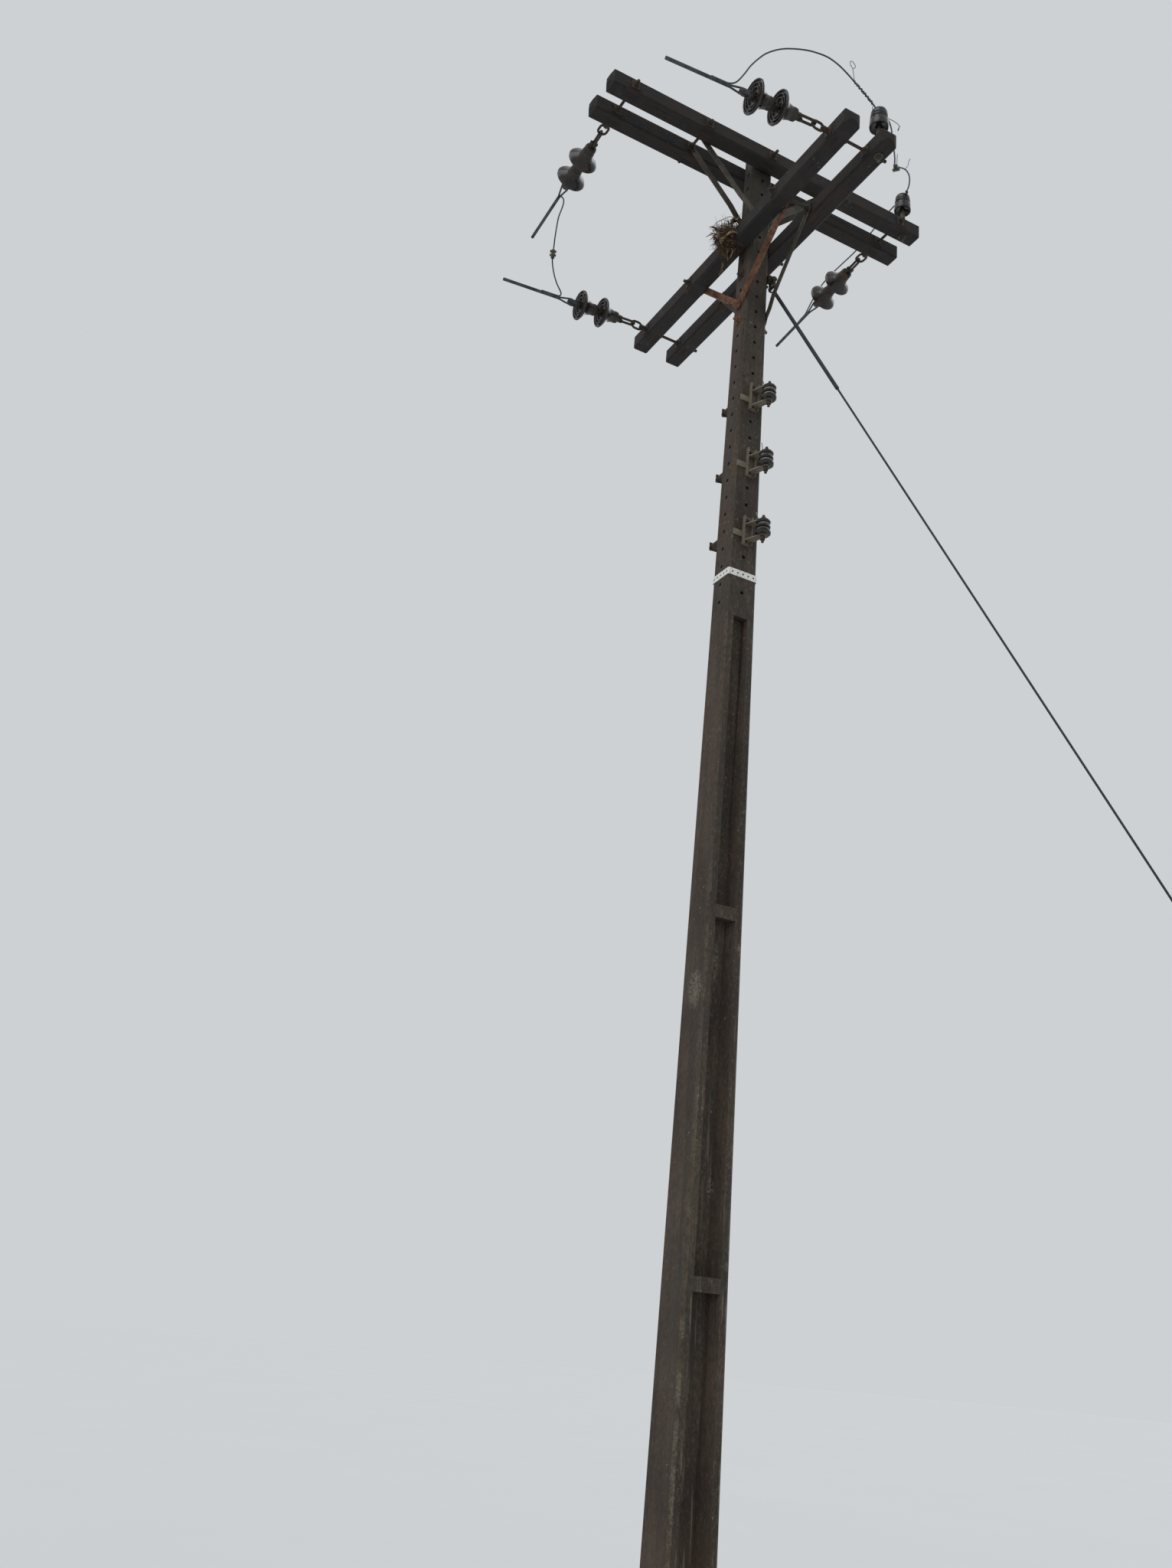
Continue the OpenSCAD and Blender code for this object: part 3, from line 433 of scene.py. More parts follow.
# %% Concrete: the skin
def cement_skin(f, p):
    f.ground((48, 40, 32), (78, 67, 55), p.broad.rise(0.34, 0.68))
    reddened = p.facing_x * p.patch.rise(0.32, 0.66) * (0.42 + p.z.rise(1.0, 6.0) * 0.38)
    f.lay((74, 51, 38), reddened)
    f.lay((36, 30, 24), p.wet.rise(0.45, 0.66) * 0.55)
    speck = (1 - p.grains.rise(0.16, 0.34)) * p.grain_tint.rise(0.46, 0.72) * p.patch.rise(0.40, 0.60)
    p.speck = speck * (0.35 + p.facing_y * 0.65) * (1 - p.z.rise(3.4, 6.2) * 0.75)
    f.lay((132, 124, 110), p.speck * 0.60)
    f.lay((34, 30, 25), (1 - p.sand.rise(0.34, 0.50)) * 0.60)
    f.lay((30, 26, 21), (1 - p.mottle.rise(0.36, 0.50)) * 0.60)
    worn = p.mottle.rise(0.53, 0.66) * (0.28 + p.facing_y * 0.30) * (1 - p.z.rise(4.2, 7.0) * 0.5)
    f.lay((104, 94, 79), worn)
    f.lay((114, 104, 88), p.grit.rise(0.60, 0.74) * 0.34)


# %% [markdown]
# ## The corners
# An olive strip runs down each chamfer, and on the very edge the skin is gone and the stones are
# bare. How far a point lies from the middle, as a share of the pole's half width at its own height,
# finds both places on the tapered pole.

# %% Concrete: the corners
def worn_corners(f, p):
    across, deep = abs(p.x) / half_wide(p.z), abs(p.y) / half_deep(p.z)
    near_corner = across.rise(0.80, 0.88) * deep.rise(0.74, 0.84)
    chamfer = near_corner * (abs(p.nx) * abs(p.ny) * 2.6).clamped()
    strip = chamfer * p.streak.rise(0.36, 0.60) * p.mottle.rise(0.34, 0.62)
    f.lay((88, 79, 61), strip * 0.50)
    p.edge = (across + deep).rise(1.845, 1.90) * p.patch.rise(0.44, 0.60)
    f.lay(p.stone, p.edge * 0.55)


# %% [markdown]
# ## Water and growth
# Long dark runs follow the rain, and a tear hangs below each bolt hole. The holes stand 100 mm
# apart, so the part after the decimal point of ten times the height tells how far below a hole a
# point lies. Lime comes out low down, algae blackens the top, and splashed soil browns the foot.

# %% Concrete: water and growth
def tears(p, row_top, across, facing):
    fallen = ((row_top - p.z) * 10.0).math("FRACT")
    narrow = 1 - (abs(across) / 0.019).rise(0.25, 1.0)
    return narrow * (1 - fallen) * facing * p.z.rise(4.58, 4.66)


def water_and_growth(f, p):
    below_holes = tears(p, 7.4, p.x, p.facing_y).at_least(tears(p, 7.35, p.y, p.facing_x))
    below_holes = below_holes * (0.50 + p.streak * 1.1)
    p.dark = (p.streak.rise(0.50, 0.66) * 0.70).at_least(below_holes.clamped())
    f.lay((27, 23, 19), p.dark * (1 - p.edge * 0.5) * 0.82)
    lime = f.noise(0.017, f.stretched((1.0, 1.0, 0.055)), detail=4.0).rise(0.56, 0.70)
    lime = lime * (1 - p.z.rise(1.6, 3.4))
    f.lay((120, 112, 97), lime * p.facing_y * (0.35 + p.sand * 0.5))
    p.top = p.z.rise(6.0, 7.40) * (0.30 + p.patch.rise(0.30, 0.62) * 0.70)
    f.lay((26, 24, 19), p.top * 0.72)
    f.lay((56, 54, 37), f.noise(0.26, detail=5.0).rise(0.52, 0.68) * 0.28)
    lichen = 1 - f.cells(0.031, f.crumpled(0.012, 0.018)).rise(0.06, 0.17 + p.patch * 0.10)
    f.lay((132, 132, 114), lichen * p.patch.rise(0.54, 0.62) * 0.45)
    splashed = (1 - p.z.rise(0.05, 0.9)) * (0.35 + p.wet * 0.8)
    f.lay((86, 62, 42), splashed.clamped() * 0.50)


# %% [markdown]
# ## Badly packed places
# Where the mould was poorly filled, the stones stand open with holes between them. The holes are
# painted near black, which is painted shade for the dark inside them. Each place is an egg around a
# point, with its three half lengths, and noise frays its rim. The relief then sinks the holes, so
# the light finds them too.

# %% Concrete: open places and the finish
open_places = [(-0.014, -0.070, 2.840, 0.036, 0.050, 0.145), (-0.095, -0.026, 2.730, 0.040, 0.058, 0.090),
               (0.092, -0.080, 2.930, 0.028, 0.030, 0.040), (0.024, -0.040, 1.905, 0.016, 0.020, 0.045),
               (0.090, -0.060, 1.600, 0.025, 0.040, 0.035)]


def egg(p, px, py, pz, sx, sy, sz):
    far = ((p.x - px) / sx) ** 2.0 + ((p.y - py) / sy) ** 2.0 + ((p.z - pz) / sz) ** 2.0
    return 1 - (far + (p.patch - 0.5) * 2.2 + (p.wet - 0.5) * 1.5).rise(0.35, 1.25)


def concrete_finish():
    f = Finish("damp_cast_concrete", IOR=1.48)
    p = concrete_patterns(f)
    for layer in (cement_skin, worn_corners, water_and_growth):
        layer(f, p)
    opened = egg(p, *open_places[0])
    for place in open_places[1:]:
        opened = opened.at_least(egg(p, *place))
    holes_in_painted_shade = 1 - f.cells(0.0105, f.crumpled(0.005, 0.009)).rise(0.14, 0.48)
    holes_in_painted_shade = holes_in_painted_shade * f.noise(0.016, detail=3.0).rise(0.42, 0.54) * opened
    f.lay(p.stone, opened * (0.40 + p.mottle * 0.45))
    # Painted shade: the holes between the open stones are laid near black for the dark inside them.
    f.lay((18, 15, 12), holes_in_painted_shade * 0.90)

    mould_lines = f.noise(0.006, f.stretched((1.0, 1.0, 0.02)), detail=2.0)
    pits = (1 - f.cells(0.017, f.crumpled(0.006, 0.008)).rise(0.06, 0.15)) * p.patch.rise(0.46, 0.58)
    height = p.sand * 0.40 + mould_lines * 0.16 + p.patch * 0.9 + p.mottle * 0.8 + p.grit * 0.25
    height = height + p.speck * 0.25 - pits * 1.2 - p.edge * (0.5 - p.grain_tint * 0.7)
    height = height - holes_in_painted_shade * 3.0 - opened * (0.4 - p.grain_tint * 0.5)
    return f.finish(0.88 - p.dark * 0.36 - p.top * 0.10, f.relief(height, 0.0032, 0.9))


print("open places:", len(open_places))

# %% [markdown]
# ## Where the arms are
# The arms lie in two crossed pairs, one beam on each side of the pole, and five bolts hold each
# pair. The wood needs these places for its stains, and the strings and threads start from them.

# %% Measure the arms
arm = 0.092
upper_z, lower_z = 7.4, 6.85
upper_gap, lower_gap = 0.0514169, 0.065868
bolt_left, bolt_right = -0.874, 0.886
arm_bolts = (bolt_left, -0.41, 0.0, 0.41, bolt_right)
print("outer faces of the arms:", round(upper_gap + arm, 4), round(lower_gap + arm, 4))

# %% [markdown]
# ## Old hardwood
# An arm is sawn from one log, so its grain is a stack of tubes around the tree's heart. One solid
# pattern gives the long lines on the sides and the rings on the ends: it measures the distance
# from a line that lies outside the arm and colours it in rings of about 4 mm. Sun and rain have
# turned the wood brown-black with grey fibres that stand up, and opened long splits. The splits and
# the checks on the ends are painted near black, as painted shade inside them.

# %% Write the wood for both directions
ring_width = 0.0048


def timber_finish(name, along, heart, seed):
    f = Finish(name, IOR=1.45)
    x, y, z = f.parts(f.place())
    nx, ny, nz = f.parts(f.node("ShaderNodeNewGeometry", out="Normal"))
    lengthways, across, facing = (x, y, abs(nx)) if along == "x" else (y, x, abs(ny))
    level = upper_z if along == "x" else lower_z
    thin = (0.05, 1.0, 1.0) if along == "x" else (1.0, 0.05, 1.0)
    shift = f.node("ShaderNodeVectorMath", {"operation": "ADD"},
                   {0: f.stretched(thin), 1: (seed, seed * 1.7, seed * 0.6)})
    wander = f.noise(0.09, shift, detail=3.0) - 0.5
    fibre = f.noise(0.0022, shift, detail=4.0, rough=0.65)
    split = f.noise(0.012, shift, detail=3.0, rough=0.5)
    blotch = f.noise(0.13, detail=4.0, rough=0.6)
    far = ((across - heart[0]) ** 2.0 + (z - heart[1]) ** 2.0) ** 0.5 + wander * 0.022
    ring = (far * (2 * math.pi / ring_width)).math("SINE") * 0.5 + 0.5
    f.ground((27, 23, 21), (51, 44, 39), ring * 0.55 + fibre * 0.45 - 0.12)
    f.lay((68, 62, 58), fibre.rise(0.56, 0.78) * 0.42)
    f.lay((20, 18, 18), blotch.rise(0.42, 0.62) * 0.62)
    f.lay((50, 34, 28), f.noise(0.22, detail=3.0).rise(0.52, 0.70) * 0.34)
    end = facing.rise(0.6, 0.9)
    f.lay((30, 27, 25), end * 0.45)
    cracks_in_painted_shade = split.rise(0.645, 0.70) * (1 - end)
    end_checks_in_painted_shade = f.noise(0.010, detail=2.0).rise(0.60, 0.66) * end
    # Painted shade: the splits and the end checks are laid near black for the dark inside them.
    f.lay((9, 8, 7), cracks_in_painted_shade.at_least(end_checks_in_painted_shade * 0.7) * 0.85)

    # Iron from the bolts blackens the wood around them and below them.
    stain = None
    drop = (z - level) + (level - z).at_least(0.0) * 0.55
    for place in arm_bolts:
        reach = ((lengthways - place) ** 2.0 + drop ** 2.0) ** 0.5
        spot = 1 - (reach + (blotch - 0.5) * 0.05).rise(0.026, 0.060)
        stain = spot if stain is None else stain.at_least(spot)
    f.lay((22, 17, 15), stain * 0.62)
    f.lay((84, 50, 34), stain * split.rise(0.50, 0.62) * 0.35)
    mossy = nz.rise(0.3, 0.8) * blotch.rise(0.46, 0.60)
    f.lay((64, 68, 54), mossy * 0.5)
    spots = 1 - f.cells(0.041, f.crumpled(0.012, 0.024)).rise(0.05, 0.10 + blotch * 0.16)
    spots = spots * blotch.rise(0.50, 0.58)
    f.lay((104, 107, 94), spots * 0.34)
    height = ring * 0.28 + fibre * 0.75 - cracks_in_painted_shade * 2.4 - end_checks_in_painted_shade * 1.2
    rough = 0.80 + fibre * 0.14 - blotch.rise(0.5, 0.7) * 0.16
    return f.finish(rough, f.relief(height, 0.0022, 0.9))


print("rings to a beam:", round(arm / ring_width))

# %% [markdown]
# ## Zinc, rust and the strand
# Forged fittings are dipped in molten zinc. It ages to a dull grey with faint crystals and white
# bloom, and where it is used up the iron rusts brown. The rusty braces and bolts show the next
# stage, with scale and pits. All zinc pieces share one recipe: a noise says where the rust breaks
# through, and only its threshold, the two greys and how soiled they are differ from piece to piece.

# %% Write the metals
def zinc_finish(name, rust_from, light, dark, soiled=0.75):
    f = Finish(name, IOR=1.5)
    nz = f.parts(f.node("ShaderNodeNewGeometry", out="Normal"))[2]
    shade = f.node("ShaderNodeRGBToBW", None, {0: f.cells(0.008, out="Color")})
    bloom = f.noise(0.018, detail=5.0, rough=0.65)
    cloud = f.noise(0.060, detail=4.0, rough=0.6)
    fine = f.noise(0.0020, detail=3.0, rough=0.7)
    f.ground(dark, light, shade * 0.45 + bloom * 0.4)
    f.lay((142, 141, 132), bloom.rise(0.56, 0.74) * 0.45)
    grime = cloud.rise(0.40, 0.62) * (0.55 + fine * 0.5)
    f.lay((44, 39, 33), grime * soiled)
    rust = (cloud * 0.50 + bloom * 0.40 + fine * 0.10 - nz * 0.02).rise(rust_from, rust_from + 0.08)
    f.lay(f.mix((56, 35, 25), (98, 62, 42), fine), rust * 0.90)
    metal = (0.70 - rust * 0.65 - grime * 0.40 - bloom.rise(0.55, 0.72) * 0.25).clamped()
    rough = 0.48 + bloom * 0.22 + rust * 0.25 + grime * 0.10
    height = fine * 0.30 + bloom * 0.4 + rust * (fine + 0.4)
    return f.finish(rough, f.relief(height, 0.0009, 0.8), metal=metal)


def rust_finish():
    f = Finish("scaled_rust", IOR=1.5)
    scale = f.noise(0.020, detail=6.0, rough=0.7)
    cloud = f.noise(0.10, detail=4.0)
    grain = f.noise(0.0018, detail=3.0, rough=0.7)
    pits = f.cells(0.0045)
    f.ground((78, 50, 36), (124, 84, 58), scale.rise(0.34, 0.62))
    f.lay((50, 35, 28), cloud.rise(0.48, 0.66) * 0.62)
    f.lay((142, 96, 66), grain.rise(0.58, 0.75) * 0.38)
    f.lay((104, 100, 90), f.noise(0.055, detail=5.0).rise(0.57, 0.67) * 0.55)
    height = scale * 1.0 + grain * 0.5 - (1 - pits.rise(0.08, 0.3)) * 0.8
    return f.finish(0.80 + grain * 0.16, f.relief(height, 0.0012, 0.9))


def strand_finish(name, light, dark, metalness):
    f = Finish(name, IOR=1.5)
    dirt = f.noise(0.05, detail=4.0)
    fine = f.noise(0.0025, detail=3.0, rough=0.7)
    f.ground(dark, light, fine.rise(0.35, 0.7))
    f.lay((34, 32, 30), dirt.rise(0.46, 0.64) * 0.7)
    metal = metalness - dirt.rise(0.46, 0.64) * 0.4
    return f.finish(0.48 + dirt * 0.30, f.relief(fine, 0.0003, 0.6), metal=metal)


# %% [markdown]
# ## Glazed porcelain
# The insulators wear a thick brown glaze. It is glossy even when old, so it reflects the sky as
# one bright band, and that band tells the eye that this is porcelain. Dust gathers on surfaces
# that look up and in the ribs below, where rain doesn't wash. A little unevenness in the glaze
# keeps the reflection from being a ruler-straight line. The pale band around the pole is coated
# steel, scuffed and dirty, and the straw is a dull fibre.

# %% Write the glaze, the pale band and the straw
def glaze_finish(name, deep, thin):
    f = Finish(name, IOR=1.42, Coat_Roughness=0.08)
    nz = f.parts(f.node("ShaderNodeNewGeometry", out="Normal"))[2]
    run = f.noise(0.030, detail=3.0)
    speck = f.cells(0.0032)
    dust = f.noise(0.024, detail=5.0, rough=0.65)
    fine = f.noise(0.0025, detail=3.0, rough=0.7)
    f.ground(deep, thin, run.rise(0.40, 0.68))
    f.lay((14, 12, 11), (1 - speck.rise(0.05, 0.17)) * 0.6)
    grime = (dust.rise(0.42, 0.66) * (0.34 + abs(nz) * 0.5) * (0.6 + fine * 0.8)).clamped()
    f.lay((62, 58, 53), grime * 0.60)
    height = run * 0.8 + dust * 0.12 + grime * fine * 0.3
    coat = (0.18 - grime * 0.4).clamped()
    return f.finish(0.17 + grime * 0.45, f.relief(height, 0.0014, 0.45), coat=coat)


def band_finish():
    f = Finish("pale_band", IOR=1.48)
    dirt = f.noise(0.014, detail=5.0, rough=0.65)
    scuff = f.noise(0.0040, detail=3.0)
    f.ground((200, 202, 197), (224, 226, 222), scuff)
    f.lay((112, 106, 94), dirt.rise(0.50, 0.68) * 0.55)
    return f.finish(0.42 + dirt * 0.25, f.relief(scuff, 0.0004, 0.6))


def straw_finish(name, dark, light, red):
    f = Finish(name, IOR=1.4)
    tint = f.noise(0.016, detail=3.0)
    line = f.noise(0.0018, f.stretched((1.0, 1.0, 0.3)), detail=2.0)
    f.ground(dark, light, tint.rise(0.40, 0.64))
    f.lay(red, line.rise(0.50, 0.7) * 0.6)
    return f.finish(0.82 + line * 0.1, f.relief(line, 0.0006, 0.8))


# %% [markdown]
# ## One list of finishes
# Each kind of surface is written once and worn by every piece of that kind, as on the real pole,
# where most fittings come from the same zinc bath. The four arms are the exception: each was sawn
# from its own log, so each gets the same finish with its own heart line and its own seed.

# %% Make every finish once
concrete = concrete_finish()
wood_along_x = timber_finish("hardwood_grain_along_x", "x", (0.16, 7.29), 3.1)
wood_along_x_far = timber_finish("hardwood_grain_far_arm", "x", (-0.05, 7.56), 8.4)
wood_along_y = timber_finish("hardwood_grain_along_y", "y", (-0.26, 6.74), 5.7)
wood_along_y_right = timber_finish("hardwood_grain_right_arm", "y", (0.03, 6.99), 12.9)
zinc = zinc_finish("dull_zinc", 0.585, (114, 107, 96), (64, 60, 53))
zinc_pale = zinc_finish("pale_zinc", 0.605, (158, 148, 130), (106, 98, 84), soiled=0.40)
zinc_stained = zinc_finish("stained_zinc", 0.525, (82, 75, 66), (42, 38, 33))
rust = rust_finish()
bright_strand = strand_finish("aged_aluminium_strand", (112, 114, 115), (62, 63, 64), 0.75)
tie_strand = strand_finish("pale_tie_wire", (176, 173, 164), (128, 125, 116), 0.35)
dark_strand = strand_finish("galvanised_stay_strand", (84, 86, 87), (40, 41, 42), 0.7)
glaze = glaze_finish("brown_glaze", (27, 22, 20), (46, 35, 30))
glaze_dark = glaze_finish("dark_brown_glaze", (22, 20, 19), (36, 30, 27))
band = band_finish()
straw = straw_finish("dry_straw", (50, 35, 26), (134, 110, 82), (80, 48, 34))
dry_leaf = straw_finish("dry_leaf", (92, 70, 50), (168, 148, 120), (104, 70, 50))
print("finishes:", len(bpy.data.materials))

# %% [markdown]
# ## Dress the solids
# A solid keeps its mesh and only its material slots change. The lists go by the name of each
# piece, so that nothing is left with a flat colour; the last lines stop the script if one is.

# %% Give each solid its finish
strings = (1, 2, 3, 4)


def dress(names, material):
    for name in names:
        mesh = nodes[name].data
        mesh.materials.clear()
        mesh.materials.append(material)


dressed = {
    concrete: ["pole"],
    wood_along_x: ["arm_upper_near"],
    wood_along_x_far: ["arm_upper_far"],
    wood_along_y: ["arm_lower_left"],
    wood_along_y_right: ["arm_lower_right"],
    zinc: ["brace_upper_near", "brace_upper_far", "brace_lower_right", "wire_clamps", "insulator_pins"],
    zinc_pale: ["rack_brackets"],
    zinc_stained: ["bolts_upper", "bolts_lower", "rack_bolts", "stay_plate", "stay_shackle",
                   *(f"eye_{i}" for i in strings), *(f"caps_{i}" for i in strings)],
    rust: ["brace_bolts", "brace_lower_left", "anchor_rod"],
    bright_strand: [*(f"grip_{i}" for i in strings), "wire_left", "wire_right"],
    dark_strand: ["stay_strand"],
    glaze: [f"bells_{i}" for i in strings],
    glaze_dark: ["pin_insulators", "rack_spools"],
    band: ["strap", "strap_buckle"],
}
for material, names in dressed.items():
    dress(names, material)
bare = set(nodes) - {name for names in dressed.values() for name in names}
assert not bare, bare
left_wire.data.materials.append(bright_strand)
right_wire.data.materials.append(bright_strand)
print("solids dressed:", sum(len(names) for names in dressed.values()))


def add_piece(made, material):
    made.data.materials.clear()
    made.data.materials.append(material)
    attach(made, "root")


# %% [markdown]
# ## Where the strings hang
# The strings repeat: each starts on the outer face of an arm, runs level through its ring and then
# droops by a few degrees from where the link hangs in the ring. A matrix holds that place, so a
# piece is made once along +X and set on all four.

# %% The four string places
link_contact = 0.092    # from the arm's face to where the link hangs in the ring
string_end = 0.93
outer_upper, outer_lower = upper_gap + arm, -lower_gap - arm
starts = {    # place on the arm, heading, droop and roll in degrees
    1: (Vector((bolt_left, outer_upper, upper_z)), 90, 6.0, 0),
    2: (Vector((bolt_right, outer_upper, upper_z)), 90, 5.0, 0),
    3: (Vector((outer_lower, bolt_left, lower_z)), 180, 5.5, 90),
    4: (Vector((outer_lower, bolt_right, lower_z)), 180, 5.5, 90),
}


def string_place(i):
    start, heading, droop, roll = starts[i]
    return (Matrix.Translation(start) @ Matrix.Rotation(math.radians(heading), 4, "Z")
            @ Matrix.Translation((link_contact, 0, 0)) @ Matrix.Rotation(math.radians(droop), 4, "Y")
            @ Matrix.Translation((-link_contact, 0, 0)) @ Matrix.Rotation(math.radians(roll), 4, "X"))


for i in strings:
    print("string", i, "ends at", [round(v, 3) for v in string_place(i) @ Vector((string_end, 0, 0))])

# %% [markdown]
# ## Wound grips
# A grip is a bundle of steel rods wound into one stiff bar, bent double at its head to sit in the
# thimble. On the solid it is a plain round bar. A thin skin of humps that turns along the bar shows
# the rods, standing less than a millimetre proud. The two legs and the loop are wound as well.

# %% Wind the grips of the four strings
grip_from, grip_to = 0.5805, 0.9295
loop_middle = 0.502


def straight(a, b, step):
    a, b = np.array(a, float), np.array(b, float)
    count = max(int(np.linalg.norm(b - a) / step), 2)
    return np.array([a + (b - a) * t for t in np.linspace(0, 1, count + 1)])


def wound_grip(i):
    body = sweep("body", straight((grip_from, 0, 0), (grip_to, 0, 0), 0.005),
                 strand_section(0.0091, 8, 0.0010), lay=0.075)
    rods = strand_section(0.0052, 4, 0.0011, 8)
    legs = [sweep("leg", straight((0.505, side * 0.0215, 0), (0.583, side * 0.0044, 0), 0.004),
                  rods, lay=0.05) for side in (-1, 1)]
    bend = np.array([(loop_middle - 0.022 * math.sin(a), 0.022 * math.cos(a), 0)
                     for a in np.linspace(0, math.pi, 24)])
    loop = sweep("loop", bend, rods, lay=0.05)
    made = joined(f"wound_grip_{i}", [body, loop] + legs)
    made.data.transform(string_place(i))
    add_piece(made, bright_strand)


for i in strings:
    wound_grip(i)

# %% [markdown]
# ## Split pins
# Each cross pin of a string is kept in by a split pin: one soft wire bent double, with an eye on
# one side and two spread legs on the other. It is small, but it breaks up the plain end of the pin
# in a close view.

# %% Put a split pin through each cross pin
pin_shape = [(-0.0075, 0, 0), (-0.0105, 0.0014, 0.0022), (-0.0125, 0, 0), (-0.0105, -0.0014, -0.0022),
             (-0.0075, 0, 0), (0, 0, 0), (0.0075, 0, 0), (0.0115, 0.0022, 0.0012), (0.0145, 0.0052, 0.0016)]
cross_pins = [(0.173 + 0.14 * k, 0.0218, 0.0) for k in range(3)]


def split_pin(at):
    bent, _ = even_path([(x + at[0], z + at[1], y + at[2]) for x, y, z in pin_shape], 0.0012)
    return sweep("pin", bent, round_section(0.0011, 6))


for i in strings:
    made = joined(f"split_pins_{i}", [split_pin(at) for at in cross_pins])
    made.data.transform(string_place(i))
    add_piece(made, zinc)
print("split pins:", len(strings) * len(cross_pins))

# %% [markdown]
# ## The stay
# A seven-wire steel strand runs from the plate on the pole to the rod in the ground, with a wound
# grip at both ends. It must look straight and tight, so the skin follows the solid exactly. Its
# place is worked out from the two points where it is held.

# %% Wind the stay and its grips
plate_face = half_wide(6.624) + 0.0003
stay_foot = Vector((2.478, -2.446, 0.150))
shackle_bow = Vector((plate_face + 0.025, -0.059, 6.596))
stay_dir = (stay_foot - shackle_bow).normalized()
stay_top = shackle_bow - stay_dir * 0.01525
stay_long = (stay_foot - stay_top).length
bare_from, grip_start, grip_end = 0.80, 0.046, 0.802
print("stay length", round(stay_long, 3), "m")


def on_stay(a, b, step):
    return straight(stay_top + stay_dir * a, stay_top + stay_dir * b, step)


strand = sweep("stay_wires", on_stay(bare_from, stay_long - bare_from, 0.012),
               strand_section(0.00545, 6, 0.0007, 4), lay=0.11)
add_piece(strand, dark_strand)
for tag, a, b in (("top", grip_start, grip_end), ("foot", stay_long - grip_end, stay_long - grip_start)):
    grip = sweep(f"stay_grip_{tag}", on_stay(a, b, 0.007), strand_section(0.0101, 7, 0.0011, 5), lay=0.085)
    add_piece(grip, dark_strand)

# %% [markdown]
# ## Screw threads
# Every bolt sticks out past its nut, and there the thread shows. A thread is one ridge wound around
# the bolt with a pitch of 2 mm. The ridge is swept as a strip of three points: low, crest, low. It
# sits on the smooth bar of the solid, so only the free end of each bolt gets one.

# %% Cut the threads
pitch, around = 0.002, 20
nut_top = 0.0176    # washer and nut, from the face that they press on
under_nut = 0.0180    # what the nut and a hair more take of a bolt's reach
bolt_radius = 0.008


def thread(foot, heading, long, radius):
    heading = Vector(heading).normalized()
    side = heading.orthogonal().normalized()
    up = heading.cross(side)
    steps = max(int(long / pitch) - 1, 1) * around
    profile = ((radius - 0.0002, 0.0), (radius + 0.00075, 0.45 * pitch), (radius - 0.0002, 0.9 * pitch))
    verts, faces = [], []
    for k in range(steps + 1):
        a = 2 * math.pi * k / around
        out = side * math.cos(a) + up * math.sin(a)
        along = heading * (pitch * k / around)
        verts += [Vector(foot) + along + heading * step + out * away for away, step in profile]
    for k in range(steps):
        faces += [(3 * k + j, 3 * k + 3 + j, 3 * k + 4 + j, 3 * k + 1 + j) for j in (0, 1)]
    return mesh_object("thread", verts, faces)


# %% [markdown]
# ## Threads on the arms and racks
# The five bolts of a pair share a level. Each list gives how far the bolts stand out of the beams,
# on the side away from the strings and on the side towards them, with None for the two end bolts,
# which carry an eye instead of a nut there and show no thread.

# %% Thread the arm bolts and the rack bolts
def arm_bolt_threads(name, centre, axis, outer, low_tips, high_tips):
    """axis points to the side of the strings; the bolts stand in a row across it."""
    axis = Vector(axis)
    across = Vector((axis.y, -axis.x, 0))
    made = []
    for k, place in enumerate(arm_bolts):
        foot = Vector(centre) + across * place
        made.append(thread(foot - axis * (outer + nut_top), -axis, low_tips[k] - under_nut, bolt_radius))
        if high_tips[k]:
            made.append(thread(foot + axis * (outer + nut_top), axis, high_tips[k] - under_nut, bolt_radius))
    add_piece(joined(name, made), zinc_stained)


arm_bolt_threads("threads_upper", (0, 0, upper_z), (0, 1, 0), outer_upper,
                 (0.036, 0.028, 0.046, 0.028, 0.036), (None, 0.034, 0.034, 0.034, None))
arm_bolt_threads("threads_lower", (0, 0, lower_z), (-1, 0, 0), -outer_lower,
                 (0.036, 0.028, 0.034, 0.028, 0.036), (None, 0.034, 0.046, 0.034, None))

rack_heights = (5.9, 5.5, 5.1)


def rack_face(z):
    """How far in front of the pole's middle the foot bar of a rack stands."""
    return half_deep(z - 0.135) + 0.0003


rack_threads = []
for i, z in enumerate(rack_heights):
    reach = 0.200 + 0.019 * i
    rack_threads.append(thread((0, -rack_face(z) - 0.0175, z), (0, -1, 0), 0.0062, bolt_radius))
    rack_threads.append(thread((0, reach + 0.0035, z), (0, 1, 0), 0.0100, bolt_radius))
add_piece(joined("threads_racks", rack_threads), zinc_stained)
print("threads on the racks:", len(rack_heights) * 2)

# %% [markdown]
# ## Soft wire
# Wires are bound to insulators with soft wire, 3 mm thick, and its loose ends curl in the air. These
# curls make the fittings look handmade. A binding could be a spiral on a cylinder, but the wire it
# holds is bent, so the winding follows that wire's own path and its carried directions.

# %% Helpers for soft wire
soft_wire = 0.0016
neck_height, neck_radius = 0.0725, 0.0418


def thin_wire(name, points, radius=soft_wire, step=0.004):
    path, _ = even_path(points, step)
    return sweep(name, path, round_section(radius, 8))


def wound_around(path, first, last, away, turns):
    """A soft wire wound around a stretch of another wire's path."""
    sides, ups = carried_frames(path)
    per_turn = 12
    steps = turns * per_turn
    out = []
    for k in range(steps + 1):
        t = first + (last - first) * k / steps
        i = min(int(t), len(path) - 2)
        at = path[i] * (1 - (t - i)) + path[i + 1] * (t - i)
        a = 2 * math.pi * k / per_turn
        out.append(at + sides[i] * away * math.cos(a) + ups[i] * away * math.sin(a))
    return sweep("winding", np.array(out), round_section(soft_wire, 6))


def nearest(point):
    """The place on the long bridging wire that is nearest to a point."""
    return int(np.argmin(np.linalg.norm(right_path - np.array(point), axis=1)))


